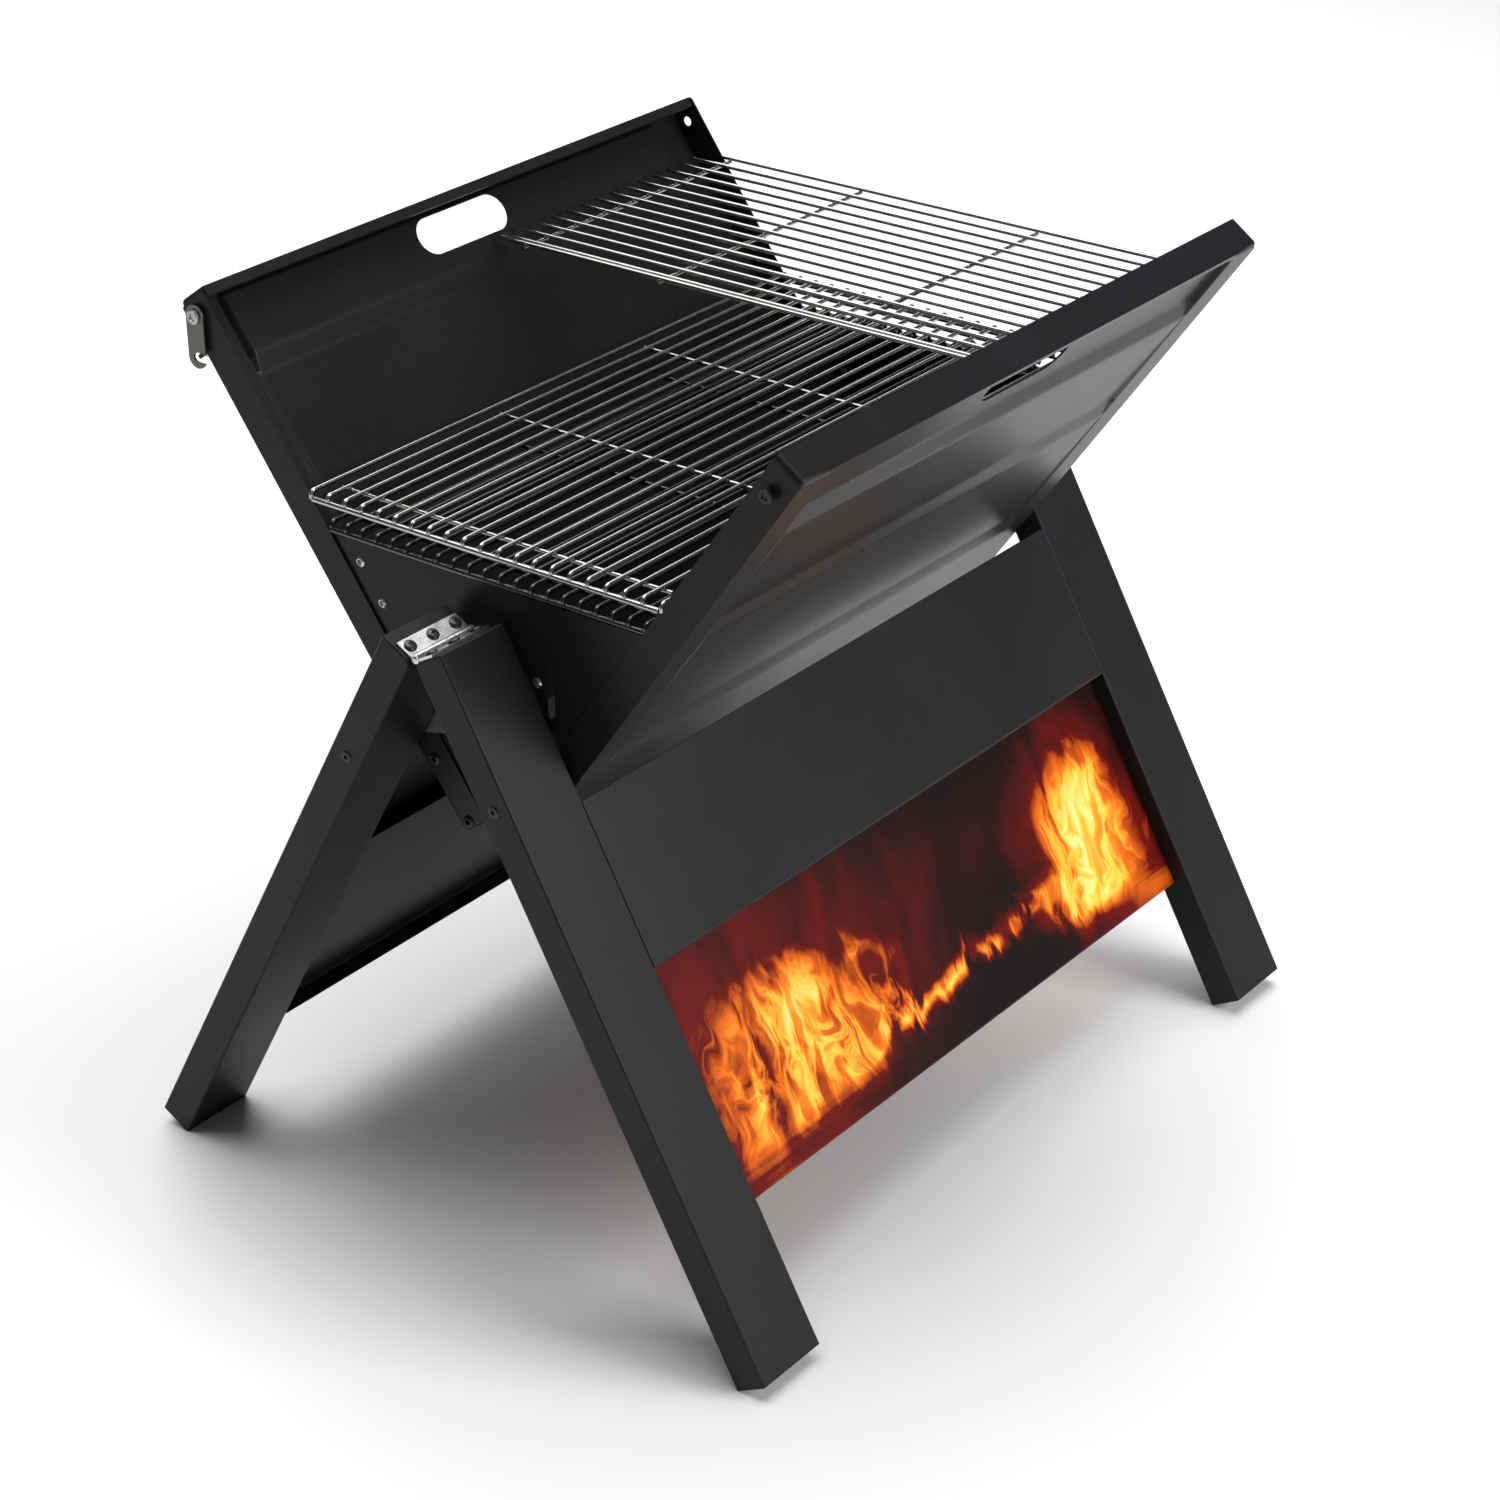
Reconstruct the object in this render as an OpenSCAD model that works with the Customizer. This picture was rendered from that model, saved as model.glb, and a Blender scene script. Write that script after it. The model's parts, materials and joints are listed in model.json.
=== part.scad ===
// Folding charcoal grill: two leg frames hinged at the top carry two trough
// pans, so that legs and pans close flat against each other.
// Frame: X along the hinge, -Y to the front, +Z up, origin on the floor.

/* [Leg frames] */
// Overall length across the outer faces of the legs
frame_l = 620; // [560:1:760]
// Length of a leg from hinge line to foot
leg_len = 492; // [460:1:600]
// Tilt of each leg from the vertical when open
leg_angle = 29; // [24:0.5:32]
// Width of a leg along X
leg_w = 57; // [48:1:70]
// Depth of a leg
leg_d = 24.8; // [24:0.1:34]
// Wall of the leg tube
leg_wall = 1.5; // [1:0.1:2.5]
// Distance from hinge line to the top edge of the aprons
apron_drop = 121; // [110:1:150]
// Height of the aprons along the slope
apron_h = 113; // [80:1:140]
// Height of the lower panels below the aprons
panel_h = 162; // [120:1:190]
// Depth of the return folded along the foot of the lower panels
panel_return = 11; // [6:1:11]

/* [Pans] */
// Length of a pan along X
pan_l = 492; // [430:1:620]
// Slanted height of a pan
pan_h = 386; // [340:1:470]
// Tilt of each pan from the vertical when open
pan_angle = 35.6; // [32:0.1:40]
// Depth of a pan
pan_d = 23.6; // [20:0.1:24]
// Sheet thickness of pans, aprons, panels and tray
sheet = 1.2; // [0.8:0.1:1.6]
// Inset of the strip that holds the hand slot
strip_inset = 5; // [3:0.5:7]
// Depth of the two lower steps
step_inset = 2.5; // [1.5:0.5:4]
// Length of the hand slot
slot_l = 86; // [70:1:110]
// Width of the hand slot
slot_w = 26.5; // [20:0.5:30]
// Distance from the pan's top edge to the slot's middle
slot_drop = 21.5; // [19:0.5:24]

/* [Pivots] */
// Distance from hinge line to the pan pivots, along the leg
pivot_drop = 102; // [95:1:108]
// Distance from hinge line to the stay's stud, along the leg
stay_drop = 71.7; // [65:0.1:80]
// Radius of pivot bolts and stay studs
bolt_r = 3; // [2.5:0.1:4]
// Running clearance of a bore on its bolt
run_gap = 0.08; // [0.05:0.01:0.1]
// Radius of the hinge pins of the leg hinges
pin_r = 1.6; // [1.2:0.1:2]
// Radius of the leg hinge knuckles
knuckle_r = 3.2; // [3:0.1:3.6]
// Length of a leg hinge leaf
leaf_l = 52; // [44:1:54]
// Width of a leg hinge leaf
leaf_w = 15.5; // [13:0.5:18]

/* [Grates and tray] */
// Slanted distance from the trough's bottom to the cooking grate
main_s = 237.5; // [225:0.5:260]
// Drop from the cooking grate to the charcoal grate
charcoal_drop = 18; // [16:1:22]
// Slanted distance from the trough's bottom to the warming grate
warm_s = 337; // [325:1:345]
// Share of the pan's inside length that the warming grate covers
warm_share = 0.46; // [0.4:0.01:0.5]
// Spacing of the cooking grate's rods
main_pitch = 14.4; // [12:0.1:18]
// Spacing of the charcoal grate's rods
charcoal_pitch = 13.1; // [11:0.1:16]
// Spacing of the warming grate's rods
warm_pitch = 15.7; // [13:0.1:20]
// Spacing of the four wires that cross under the long rods
cross_pitch = 150; // [120:1:180]
// Height of the long rods above their end bars
rod_rise = 5; // [3.5:0.1:7]
// Radius of the grate rods
rod_r = 1.5; // [1.2:0.1:2]
// Radius of the thick end bars of the grates
bar_r = 2; // [1.6:0.1:2.6]
// Slanted distance from the trough's bottom to the tray's floor
tray_s = 60; // [50:1:80]

/* [Latch] */
// Distance between the latch strap's two holes
latch_l = 27; // [26.9:0.1:27.1]
// Width of the latch strap
latch_w = 15; // [14:0.5:17]

/* [Hidden] */
$fn = 48;
fit = 0.4;                       // gap between pieces that part or slide
weld = 0.4;                      // how far crossing wires sink into each other
eps = 0.01;
sA = sin(leg_angle);
cA = cos(leg_angle);
sP = sin(pan_angle);
cP = cos(pan_angle);
hinge_z = leg_len * cA - fit * sA; // height of the leg hinge line
leg_x = frame_l / 2 - leg_w / 2; // middle of a leg
leg_in = frame_l / 2 - leg_w;    // inner side of a leg
leg_v = fit + leg_d;             // outer face of a leg, off the hinge plane
leg_top = 2.4;                   // hinge line to the leg's top plate
pivot_v = 12.1;                  // pivots, off the leg's and the pan's inner plane
// Pivot between leg and pan, then the trough's bottom line
pivot_y = pivot_drop * sA + pivot_v * cA;
pivot_z = hinge_z - pivot_drop * cA + pivot_v * sA;
pivot_s = (pivot_y - pivot_v * cP) / sP;
trough_z = pivot_z - pivot_s * cP + pivot_v * sP;
// Pan
pan_x = pan_l / 2;
lip_n = 0.5;                     // inner edge of the pan, off its inner plane
pan_foot = 8;                    // lower wall of the pan, above the trough's bottom
hem = 7;                         // lip folded down along the pan's top edge
bead_x = pan_x - 31;             // half length of the pressed steps
rim_band = 5.5;                  // full depth band under the pan's top edge
rim_drop = 2.3;                  // run of the bend from that band to the hand strip
slot_s = pan_h - slot_drop;
strip_s = pan_h - 48;            // lower edge of the hand strip
steps = [[strip_s, 13.5, strip_inset], [236.5, 14.5, step_inset], [109, 15, step_inset]];
// Bottom hinge between the pans
low_pin_r = 1.3;
low_knuckle_r = 2.8;
low_play = 1.9;                  // play of the front eyes on the bottom pin
low_eye_r = low_pin_r + low_play + 1.2;
low_l = 400;
// Latch: pivot on the rear pan, stud on the front pan, both in pan coordinates
latch_s = 372.3 + (pan_h - 386);
latch_n = 14;
catch_n = 11.3;
catch_s = latch_s - sqrt(latch_l * latch_l - pow(latch_n + catch_n, 2));
latch_pin_r = 2.5;
latch_x = pan_x + 1.7;           // inner face of the strap
latch_t = 1.6;
// Stays between the leg frames
stay_v = pivot_v;
stud_y = stay_drop * sA + stay_v * cA;
stud_z = hinge_z - stay_drop * cA + stay_v * sA;
stay_run = pivot_y + stud_y;
stay_rise = stud_z - pivot_z;
stay_l = sqrt(stay_run * stay_run + stay_rise * stay_rise);
stay_w = 13;
stay_t = 2;
stay_x = pan_x + (leg_in - pan_x) / 2 - stay_t / 2;
// Grates
main_z = pz(main_s, 0);
charcoal_z = main_z - charcoal_drop;
warm_z = pz(warm_s, 0);
warm_n = 12.5;                   // its rods reach this far behind the pans' lips
warm_pair = 5;                   // its rods nearest the middle are a pair this far apart
warm_wires = [0.35, 0.9];        // places of its cross wires, as shares of its half width
in_x = pan_x - sheet;            // inner face of a pan's end wall
plate_x = in_x - fit;            // outer face of an end plate
plate_in = plate_x - sheet;
bar_x = pan_x - sheet / 2;       // cooking grate's end bars, over the pans' end walls
low_bar_x = plate_x - sheet / 2; // charcoal grate's end bars, over the end plates
plate_n = 5;                     // end plates reach this far behind the pan's lip
plate_top = charcoal_z - bar_r - 0.3;
plate_foot = trough_z + 17;
tray_n = -4;
tray_floor = pz(tray_s, 0);
tray_top = plate_top - 6;
vent_y = -51;
vent_z = plate_top - 58;
vent_h = 36;
vent_w = 6.5;

// ---- Places ------------------------------------------------------------
// A point of the rear pan: s up the slope, n outwards
function py(s, n) = s * sP + n * cP;
function pz(s, n) = trough_z + s * cP - n * sP;
// Half width of the trough at height z, n outside the pan's inner plane
function vee(z, n) = (z - trough_z) * sP / cP + n / cP;
// Even number of rods of one pitch that fit between two half widths
function rods(half, pitch) = 2 * floor((half - rod_r) / pitch + 0.5);

// Rear leg coordinates: X, outwards, up the leg from the hinge line
module on_rear_leg() { translate([0, 0, hinge_z]) rotate([leg_angle, 0, 0]) children(); }
module on_front_leg() { mirror([0, 1, 0]) on_rear_leg() children(); }
// Rear pan coordinates: X, outwards, up the slope from the trough's bottom
module on_rear_pan() { translate([0, 0, trough_z]) rotate([-pan_angle, 0, 0]) children(); }
module on_front_pan() { mirror([0, 1, 0]) on_rear_pan() children(); }
module both_ends() { children(); mirror([1, 0, 0]) children(); }
// A box from one corner to the other
module block(a, b) { translate(a) cube(b - a); }
// A rod along X between two stations
module rod_x(x0, x1, y, z, r) { translate([x0, y, z]) rotate([0, 90, 0]) cylinder(r = r, h = x1 - x0); }
// A rod along Y, centred
module rod_y(x, half, z, r) { translate([x, -half, z]) rotate([-90, 0, 0]) cylinder(r = r, h = 2 * half); }
// A rod along local Y between two stations
module peg_y(x, y0, y1, z, r) { translate([x, y0, z]) rotate([-90, 0, 0]) cylinder(r = r, h = y1 - y0); }
// A slot outline with round ends, along the first axis
module slot_outline(l, w) {
    square([l - w, w], center = true);
    for (k = [-1, 1]) translate([k * (l - w) / 2, 0]) circle(d = w);
}

// ---- Leg frames --------------------------------------------------------
module leg_tube() {
    difference() {
        block([leg_in, fit, -leg_len], [frame_l / 2, leg_v, -leg_top]);
        block([leg_in + leg_wall, fit + leg_wall, -leg_len - 1],
              [frame_l / 2 - leg_wall, leg_v - leg_wall, -leg_top - leg_wall]);
        rod_x(leg_in - 1, frame_l / 2 + 1, 0, 0, knuckle_r + 0.5);
        rod_x(leg_in - 1, frame_l / 2 + 1, pivot_v, -pivot_drop, bolt_r + run_gap);
        for (x = screw_xs()) rod_z(x, 0, 1.9 + run_gap);
    }
}
module stud_bore() { rod_x(leg_in - 1, leg_in + leg_wall + 1, stay_v, -stay_drop, bolt_r + run_gap); }
module rod_z(x, z_top, r) {
    translate([x, screw_v, z_top - leg_top - leg_wall - 1]) cylinder(r = r, h = leg_top + leg_wall + 2);
}
screw_v = 9.5;
function screw_xs() = [for (k = [-1, 0, 1]) leg_x + k * leaf_l * 0.385];
module rear_leg_right() { color("#2b2b2d") on_rear_leg() leg_tube(); }
module rear_leg_left() { color("#2b2b2d") mirror([1, 0, 0]) on_rear_leg() leg_tube(); }
module front_leg_right() {
    color("#2b2b2d") on_front_leg() difference() { leg_tube(); stud_bore(); }
}
module front_leg_left() {
    color("#2b2b2d") mirror([1, 0, 0]) on_front_leg() difference() { leg_tube(); stud_bore(); }
}

cap_h = 4;
module foot_caps() {
    both_ends() block([leg_in + leg_wall, fit + leg_wall, -leg_len],
                      [frame_l / 2 - leg_wall, leg_v - leg_wall, -leg_len + cap_h]);
}
module rear_foot_caps() { color("#1b1b1c") on_rear_leg() foot_caps(); }
module front_foot_caps() { color("#1b1b1c") on_front_leg() foot_caps(); }

// Aprons lie flush with the legs' outer faces and turn in at the foot to
// meet the lower panels, which stand half way into the legs
apron_foot = apron_drop + apron_h;
panel_v = pivot_v - sheet / 2;
module apron() {
    block([-leg_in, leg_v - sheet, -apron_foot], [leg_in, leg_v, -apron_drop]);
    block([-leg_in, panel_v + sheet, -apron_foot], [leg_in, leg_v - sheet, -apron_foot + sheet]);
}
module rear_apron() { color("#303032") on_rear_leg() apron(); }
module front_apron() { color("#303032") on_front_leg() apron(); }
module lower_panel() {
    panel_foot = apron_foot + panel_h;
    block([-leg_in, panel_v, -panel_foot], [leg_in, panel_v + sheet, -apron_foot + 4]);
    block([-leg_in, panel_v - panel_return, -panel_foot], [leg_in, panel_v, -panel_foot + sheet]);
}
module rear_panel() { color("#303032") on_rear_leg() lower_panel(); }
module front_panel() { color("#5a1608") on_front_leg() lower_panel(); }

// ---- Leg hinges --------------------------------------------------------
leaf_t = 1.8;
leaf_x0 = leg_x - leaf_l / 2;
third = leaf_l / 3;
module leaf(own) {
    difference() {
        union() {
            block([leaf_x0, knuckle_r + fit, -leg_top], [leaf_x0 + leaf_l, leaf_w, -leg_top + leaf_t]);
            for (k = own) {
                block([leaf_x0 + k * third + 0.15, 0.8, -leg_top],
                      [leaf_x0 + (k + 1) * third - 0.15, knuckle_r + 1, -leg_top + leaf_t]);
                rod_x(leaf_x0 + k * third + 0.15, leaf_x0 + (k + 1) * third - 0.15, 0, 0, knuckle_r);
            }
        }
        rod_x(leaf_x0 - 1, leaf_x0 + leaf_l + 1, 0, 0, pin_r + run_gap);
        for (x = screw_xs()) rod_z(x, 0, 1.9 + run_gap);
    }
}
module rear_hinge_leaves() { color("#c9c9cc") both_ends() on_rear_leg() leaf([0, 2]); }
module front_hinge_leaves() { color("#c9c9cc") both_ends() on_front_leg() leaf([1]); }
module hinge_pins() {
    color("#b9b9bd") both_ends() rod_x(leaf_x0 - 0.6, leaf_x0 + leaf_l + 0.6, 0, hinge_z, pin_r);
}
screw_head_r = 4.2;
module hinge_screw(x) {
    translate([x, screw_v, -leg_top + leaf_t]) difference() {
        union() {
            cylinder(r = screw_head_r, h = 1.2);
            translate([0, 0, 1.2]) cylinder(r1 = screw_head_r, r2 = screw_head_r - 1.4, h = 0.9);
            translate([0, 0, -leaf_t - leg_wall - 6]) cylinder(r = 1.9, h = leaf_t + leg_wall + 6);
        }
        for (a = [0, 90]) rotate(a) translate([-2.4, -0.5, 1]) cube([4.8, 1, 3]);
    }
}
module rear_hinge_screws() { color("#1c1c1d") both_ends() on_rear_leg() for (x = screw_xs()) hinge_screw(x); }
module front_hinge_screws() { color("#1c1c1d") both_ends() on_front_leg() for (x = screw_xs()) hinge_screw(x); }

// ---- Pivots and stays --------------------------------------------------
nut_r = 5;
nut_t = 4.2;
nut_x = in_x - 0.3 - nut_t;
module pivot_bolt() {
    rod_x(nut_x - 1.5, frame_l / 2 + eps, pivot_v, -pivot_drop, bolt_r);
    rod_x(frame_l / 2, frame_l / 2 + 0.9, pivot_v, -pivot_drop, bolt_r + 1.2);
}
module pivot_nut() {
    difference() {
        translate([nut_x, pivot_v, -pivot_drop]) rotate([0, 90, 0]) cylinder(r = nut_r, h = nut_t, $fn = 6);
        rod_x(nut_x - 1, nut_x + nut_t + 1, pivot_v, -pivot_drop, bolt_r + 0.02);
    }
}
module spacer(x0, x1) {
    difference() {
        rod_x(x0, x1, pivot_v, -pivot_drop, bolt_r + 2.5);
        rod_x(x0 - 1, x1 + 1, pivot_v, -pivot_drop, bolt_r + 0.05);
    }
}
module rear_pivot_bolts() { color("#8a8a8e") both_ends() on_rear_leg() pivot_bolt(); }
module front_pivot_bolts() { color("#8a8a8e") both_ends() on_front_leg() pivot_bolt(); }
module rear_pivot_nuts() { color("#9a9a9e") both_ends() on_rear_leg() pivot_nut(); }
module front_pivot_nuts() { color("#9a9a9e") both_ends() on_front_leg() pivot_nut(); }
module rear_spacers() {
    color("#77777a") both_ends() on_rear_leg() {
        spacer(pan_x + 0.2, stay_x - 0.2);
        spacer(stay_x + stay_t + 0.2, leg_in);
    }
}
module front_spacers() { color("#77777a") both_ends() on_front_leg() spacer(pan_x + 0.2, leg_in); }
module stay_studs() {
    color("#b0b0b4") both_ends() on_front_leg() {
        rod_x(pan_x + 1, leg_in + leg_wall + 3, stay_v, -stay_drop, bolt_r);
        rod_x(pan_x + 0.5, stay_x - 0.4, stay_v, -stay_drop, bolt_r + 2);
        rod_x(leg_in + leg_wall, leg_in + leg_wall + 3, stay_v, -stay_drop, bolt_r + 2);
    }
}
// Mouth of a hook for a pin of one radius, along the first axis
module mouth(r, l) { translate([0, -r - 2 * fit]) square([l, 2 * r + 4 * fit]); }
// The stay turns on the rear pivot bolt and hooks over the front stud
hook_lean = 29; // lean of the hook's mouth from square to the stay
module stay_outline() {
    difference() {
        union() {
            circle(d = stay_w);
            translate([0, -stay_w / 2]) square([stay_l, stay_w]);
            translate([stay_l, 0]) circle(d = stay_w);
        }
        circle(r = bolt_r + run_gap);
        translate([stay_l, 0]) circle(r = bolt_r + fit);
        translate([stay_l, 0]) rotate(-90 - hook_lean) mouth(bolt_r, stay_w);
    }
}
module stay() {
    // outline: first axis towards the stud, second axis up
    translate([stay_x, pivot_y, pivot_z]) rotate([90, 0, 90]) mirror([1, 0, 0])
        rotate(atan2(stay_rise, stay_run)) linear_extrude(stay_t) stay_outline();
}
module stay_right() { color("#3a3a3c") stay(); }
module stay_left() { color("#3a3a3c") mirror([1, 0, 0]) stay(); }

// ---- Pans --------------------------------------------------------------
// Outer line of the sheet where the steps are pressed, from top to bottom
function step_line() = concat(
    [[pan_d, pan_h], [pan_d, pan_h - rim_band], [pan_d - steps[0][2], pan_h - rim_band - rim_drop]],
    [for (k = [0 : len(steps) - 1]) each [
        [pan_d - steps[k][2], steps[k][0]],
        [pan_d, steps[k][0] - steps[k][1]]
    ]],
    [[pan_d, pan_foot]]
);
function shifted(line, d) = [for (p = line) [p[0] - d, p[1]]];
function backwards(line) = [for (k = [len(line) - 1 : -1 : 0]) line[k]];
// Outline in outwards and upwards coordinates, extruded along X
module along_x(x0, x1) { translate([x0, 0, 0]) rotate([90, 0, 90]) linear_extrude(x1 - x0) children(); }
module pan_shell() {
    line = step_line();
    // stepped sheet with its flat margins, and the closed ends of the steps
    along_x(-bead_x, bead_x) polygon(concat(line, backwards(shifted(line, sheet))));
    both_ends() {
        along_x(bead_x, pan_x) translate([pan_d - sheet, pan_foot]) square([sheet, pan_h - pan_foot]);
        along_x(bead_x, bead_x + sheet)
            polygon(concat([[pan_d, pan_h]], backwards(concat(shifted(line, sheet), [[pan_d, pan_foot]]))));
        // end wall
        block([in_x, lip_n, pan_foot], [pan_x, pan_d, pan_h]);
    }
    // top wall with its folded lip, and lower wall
    block([-pan_x, lip_n, pan_h - sheet], [pan_x, pan_d, pan_h]);
    block([-pan_x, lip_n, pan_h - hem], [pan_x, lip_n + sheet, pan_h]);
    block([-pan_x, lip_n, pan_foot], [pan_x, pan_d, pan_foot + sheet]);
}
rivet_s = [14, 59];
rivet_n = 14.5;
rivet_r = 2;
module pan_holes() {
    translate([0, pan_d + 1, slot_s]) rotate([90, 0, 0]) linear_extrude(strip_inset + sheet + 3)
        slot_outline(slot_l, slot_w);
    both_ends() {
        rod_x(in_x - 1, pan_x + 1, pivot_v, pivot_s, bolt_r + run_gap);
        for (s = rivet_s) rod_x(in_x - 1, pan_x + 1, rivet_n, s, rivet_r + run_gap);
    }
}
hook_hole_r = 3.5;
wing_x = -(pan_x - 10);
wing_s = latch_s - 21;
module rear_pan() {
    color("#2e2e30") on_rear_pan() difference() {
        pan_shell();
        pan_holes();
        rod_x(-pan_x - 1, -in_x + 1, latch_n, latch_s, latch_pin_r + run_gap);
        rod_x(in_x - 1, pan_x + 1, latch_n, latch_s, hook_hole_r);
        peg_y(wing_x, pan_d - sheet - 1, pan_d + 1, wing_s, latch_pin_r + run_gap);
    }
}
module front_pan() {
    color("#2e2e30") on_front_pan() difference() {
        pan_shell();
        pan_holes();
        rod_x(-pan_x - 1, -in_x + 1, catch_n, catch_s, latch_pin_r + run_gap);
    }
}
module pan_rivets() {
    both_ends() for (s = rivet_s) {
        rod_x(in_x - 1.2, pan_x + 1, rivet_n, s, rivet_r);
        rod_x(in_x - 1.6, in_x, rivet_n, s, rivet_r + 1.5);
        rod_x(pan_x, pan_x + 1.6, rivet_n, s, rivet_r + 2);
    }
}
module rear_pan_rivets() { color("#8f8f93") on_rear_pan() pan_rivets(); }
module front_pan_rivets() { color("#8f8f93") on_front_pan() pan_rivets(); }

// Bottom hinge: the rear eyes hold the pin, the front eyes ride on it with play
low_count = 5;
low_pitch = low_l / low_count;
module low_leaf(first, eye_r, bore_r, arm_n) {
    difference() {
        union() {
            block([-low_l / 2, arm_n, pan_foot - sheet], [low_l / 2, 19, pan_foot]);
            for (k = [first : 2 : low_count - 1]) {
                x0 = -low_l / 2 + k * low_pitch + 0.5;
                rod_x(x0, x0 + low_pitch - 1, 0, 0, eye_r);
                block([x0, arm_n, 0], [x0 + low_pitch - 1, arm_n + sheet, pan_foot]);
            }
        }
        rod_x(-low_l / 2 - 1, low_l / 2 + 1, 0, 0, bore_r);
    }
}
module bottom_hinge_rear() {
    color("#4a4a4d") on_rear_pan() low_leaf(0, low_knuckle_r, low_pin_r + 0.02, low_knuckle_r - sheet);
}
module bottom_hinge_front() {
    color("#4a4a4d") on_front_pan() low_leaf(1, low_eye_r, low_pin_r + low_play, low_eye_r - sheet);
}
module bottom_hinge_pin() { color("#8f8f93") rod_x(-low_l / 2, low_l / 2, 0, trough_z, low_pin_r); }

// ---- Latch -------------------------------------------------------------
// The strap hangs from its screw; its notch opens to the side that meets
// the catch stud when the pans are shut
module latch_outline() {
    difference() {
        union() {
            circle(d = latch_w);
            translate([-latch_w / 2, -latch_l]) square([latch_w, latch_l]);
            translate([0, -latch_l]) circle(d = latch_w);
        }
        circle(r = latch_pin_r + run_gap);
        translate([0, -latch_l]) circle(r = latch_pin_r + fit);
        translate([0, -latch_l]) rotate(180) mouth(latch_pin_r, latch_w);
    }
}
module latch_strap() {
    color("#3b3a36") translate([-latch_x - latch_t, py(latch_s, latch_n), pz(latch_s, latch_n)])
        rotate([90, 0, 90]) linear_extrude(latch_t) latch_outline();
}
// Pin with a dished head outside, a collar against the wall and a nut inside
module wall_pin(n, s, reach) {
    rod_x(-pan_x - reach, -in_x + 1.5, n, s, latch_pin_r);
    rod_x(-pan_x - 1.5, -pan_x, n, s, latch_pin_r + 1.5);
    rod_x(-in_x, -in_x + 2, n, s, latch_pin_r + 1.8);
    difference() {
        rod_x(-pan_x - reach - 1.8, -pan_x - reach, n, s, latch_pin_r + 2.3);
        rod_x(-pan_x - reach - 2, -pan_x - reach - 0.7, n, s, latch_pin_r - 0.3);
    }
}
pin_reach = latch_x - pan_x + latch_t + 0.3;
module latch_screw() { color("#a8a8ac") on_rear_pan() wall_pin(latch_n, latch_s, pin_reach); }
module catch_stud() { color("#a8a8ac") on_front_pan() wall_pin(catch_n, catch_s, pin_reach); }
wing_reach = 12;
module wing_stud() {
    color("#a8a8ac") on_rear_pan() {
        peg_y(wing_x, pan_d - sheet - 2, pan_d - sheet, wing_s, latch_pin_r + 2);
        peg_y(wing_x, pan_d - sheet - 1, pan_d + wing_reach, wing_s, latch_pin_r);
    }
}
module wing_nut() {
    color("#8d8d91") on_rear_pan() difference() {
        union() {
            peg_y(wing_x, pan_d + 0.3, pan_d + 5.5, wing_s, latch_pin_r + 2);
            for (k = [-1, 1]) translate([wing_x + k * 6.5, pan_d + 5, wing_s]) rotate([0, k * 30, 0]) {
                block([-2.6, -3, -1], [2.6, 4, 1]);
                translate([0, 4, -1]) cylinder(r = 2.6, h = 2);
            }
        }
        peg_y(wing_x, pan_d - 1, pan_d + 12, wing_s, latch_pin_r + run_gap);
    }
}

// ---- Tray and end plates -----------------------------------------------
// Outline across the trough: flat foot, sides n outside the pans' inner planes
module trough_outline(z0, z1, n) {
    polygon([[-vee(z0, n), z0], [vee(z0, n), z0], [vee(z1, n), z1], [-vee(z1, n), z1]]);
}
module vent(z_grow) { translate([vent_y, vent_z]) rotate(90) slot_outline(vent_h + z_grow, vent_w + z_grow); }
rivet_in = -10;                  // tray rivets, off the pans' inner plane
tray_rivet_at = [
    [py(189, rivet_in), pz(189, rivet_in)],
    [py(160, rivet_in), pz(160, rivet_in)],
    [vent_y + 10, vent_z + 3]
];
module tray_rivet_holes() { for (p = tray_rivet_at) translate(p) circle(r = rivet_r + run_gap); }
module charcoal_tray() {
    color("#26262a") {
        along_x(-plate_in, plate_in) difference() {
            trough_outline(tray_floor, tray_top, tray_n);
            trough_outline(tray_floor + sheet, tray_top + 1, tray_n - sheet / cP);
        }
        both_ends() along_x(plate_in - sheet, plate_in) difference() {
            trough_outline(tray_floor, tray_top, tray_n);
            vent(2);
            tray_rivet_holes();
        }
    }
}
module end_plate() {
    along_x(plate_in, plate_x) difference() {
        trough_outline(plate_foot, plate_top, plate_n);
        vent(0);
        tray_rivet_holes();
    }
    // folded top edge
    along_x(plate_in - 3, plate_in) translate([-vee(plate_top, 0) + 4, plate_top - sheet])
        square([2 * vee(plate_top, 0) - 8, sheet]);
}
module end_plate_right() { color("#2c2c2e") end_plate(); }
module end_plate_left() { color("#2c2c2e") mirror([1, 0, 0]) end_plate(); }
module tray_rivets() {
    color("#b0b0b4") both_ends() for (p = tray_rivet_at) {
        rod_x(plate_in - sheet - 1, plate_x + 0.5, p[0], p[1], rivet_r);
        rod_x(plate_in - sheet - 1.2, plate_in - sheet, p[0], p[1], rivet_r + 1.5);
        rod_x(plate_x, plate_x + 1.3, p[0], p[1], rivet_r + 1.5);
    }
}

// ---- Grates ------------------------------------------------------------
// Rods along X whose ends turn down on two end bars, over a row of cross wires
module long_grate(x, z, pitch) {
    half = vee(z - bar_r, lip_n - fit);
    rod_z = z + rod_rise;
    count = rods(vee(rod_z - rod_r, lip_n - fit), pitch);
    both_ends() rod_y(x, half, z, bar_r);
    for (k = [0 : count - 1]) {
        y = (k - (count - 1) / 2) * pitch;
        rod_x(-x, x, y, rod_z, rod_r);
        both_ends() translate([x, y, z]) cylinder(r = rod_r - 0.1, h = rod_rise);
    }
    for (k = [-1.5 : 1.5]) rod_y(k * cross_pitch, half - 6, rod_z - 2 * rod_r + weld, rod_r);
}
module cooking_grate() { color("#c4c4c8") long_grate(bar_x, main_z, main_pitch); }
module charcoal_grate() { color("#9c9ca0") long_grate(low_bar_x, charcoal_z, charcoal_pitch); }
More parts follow.
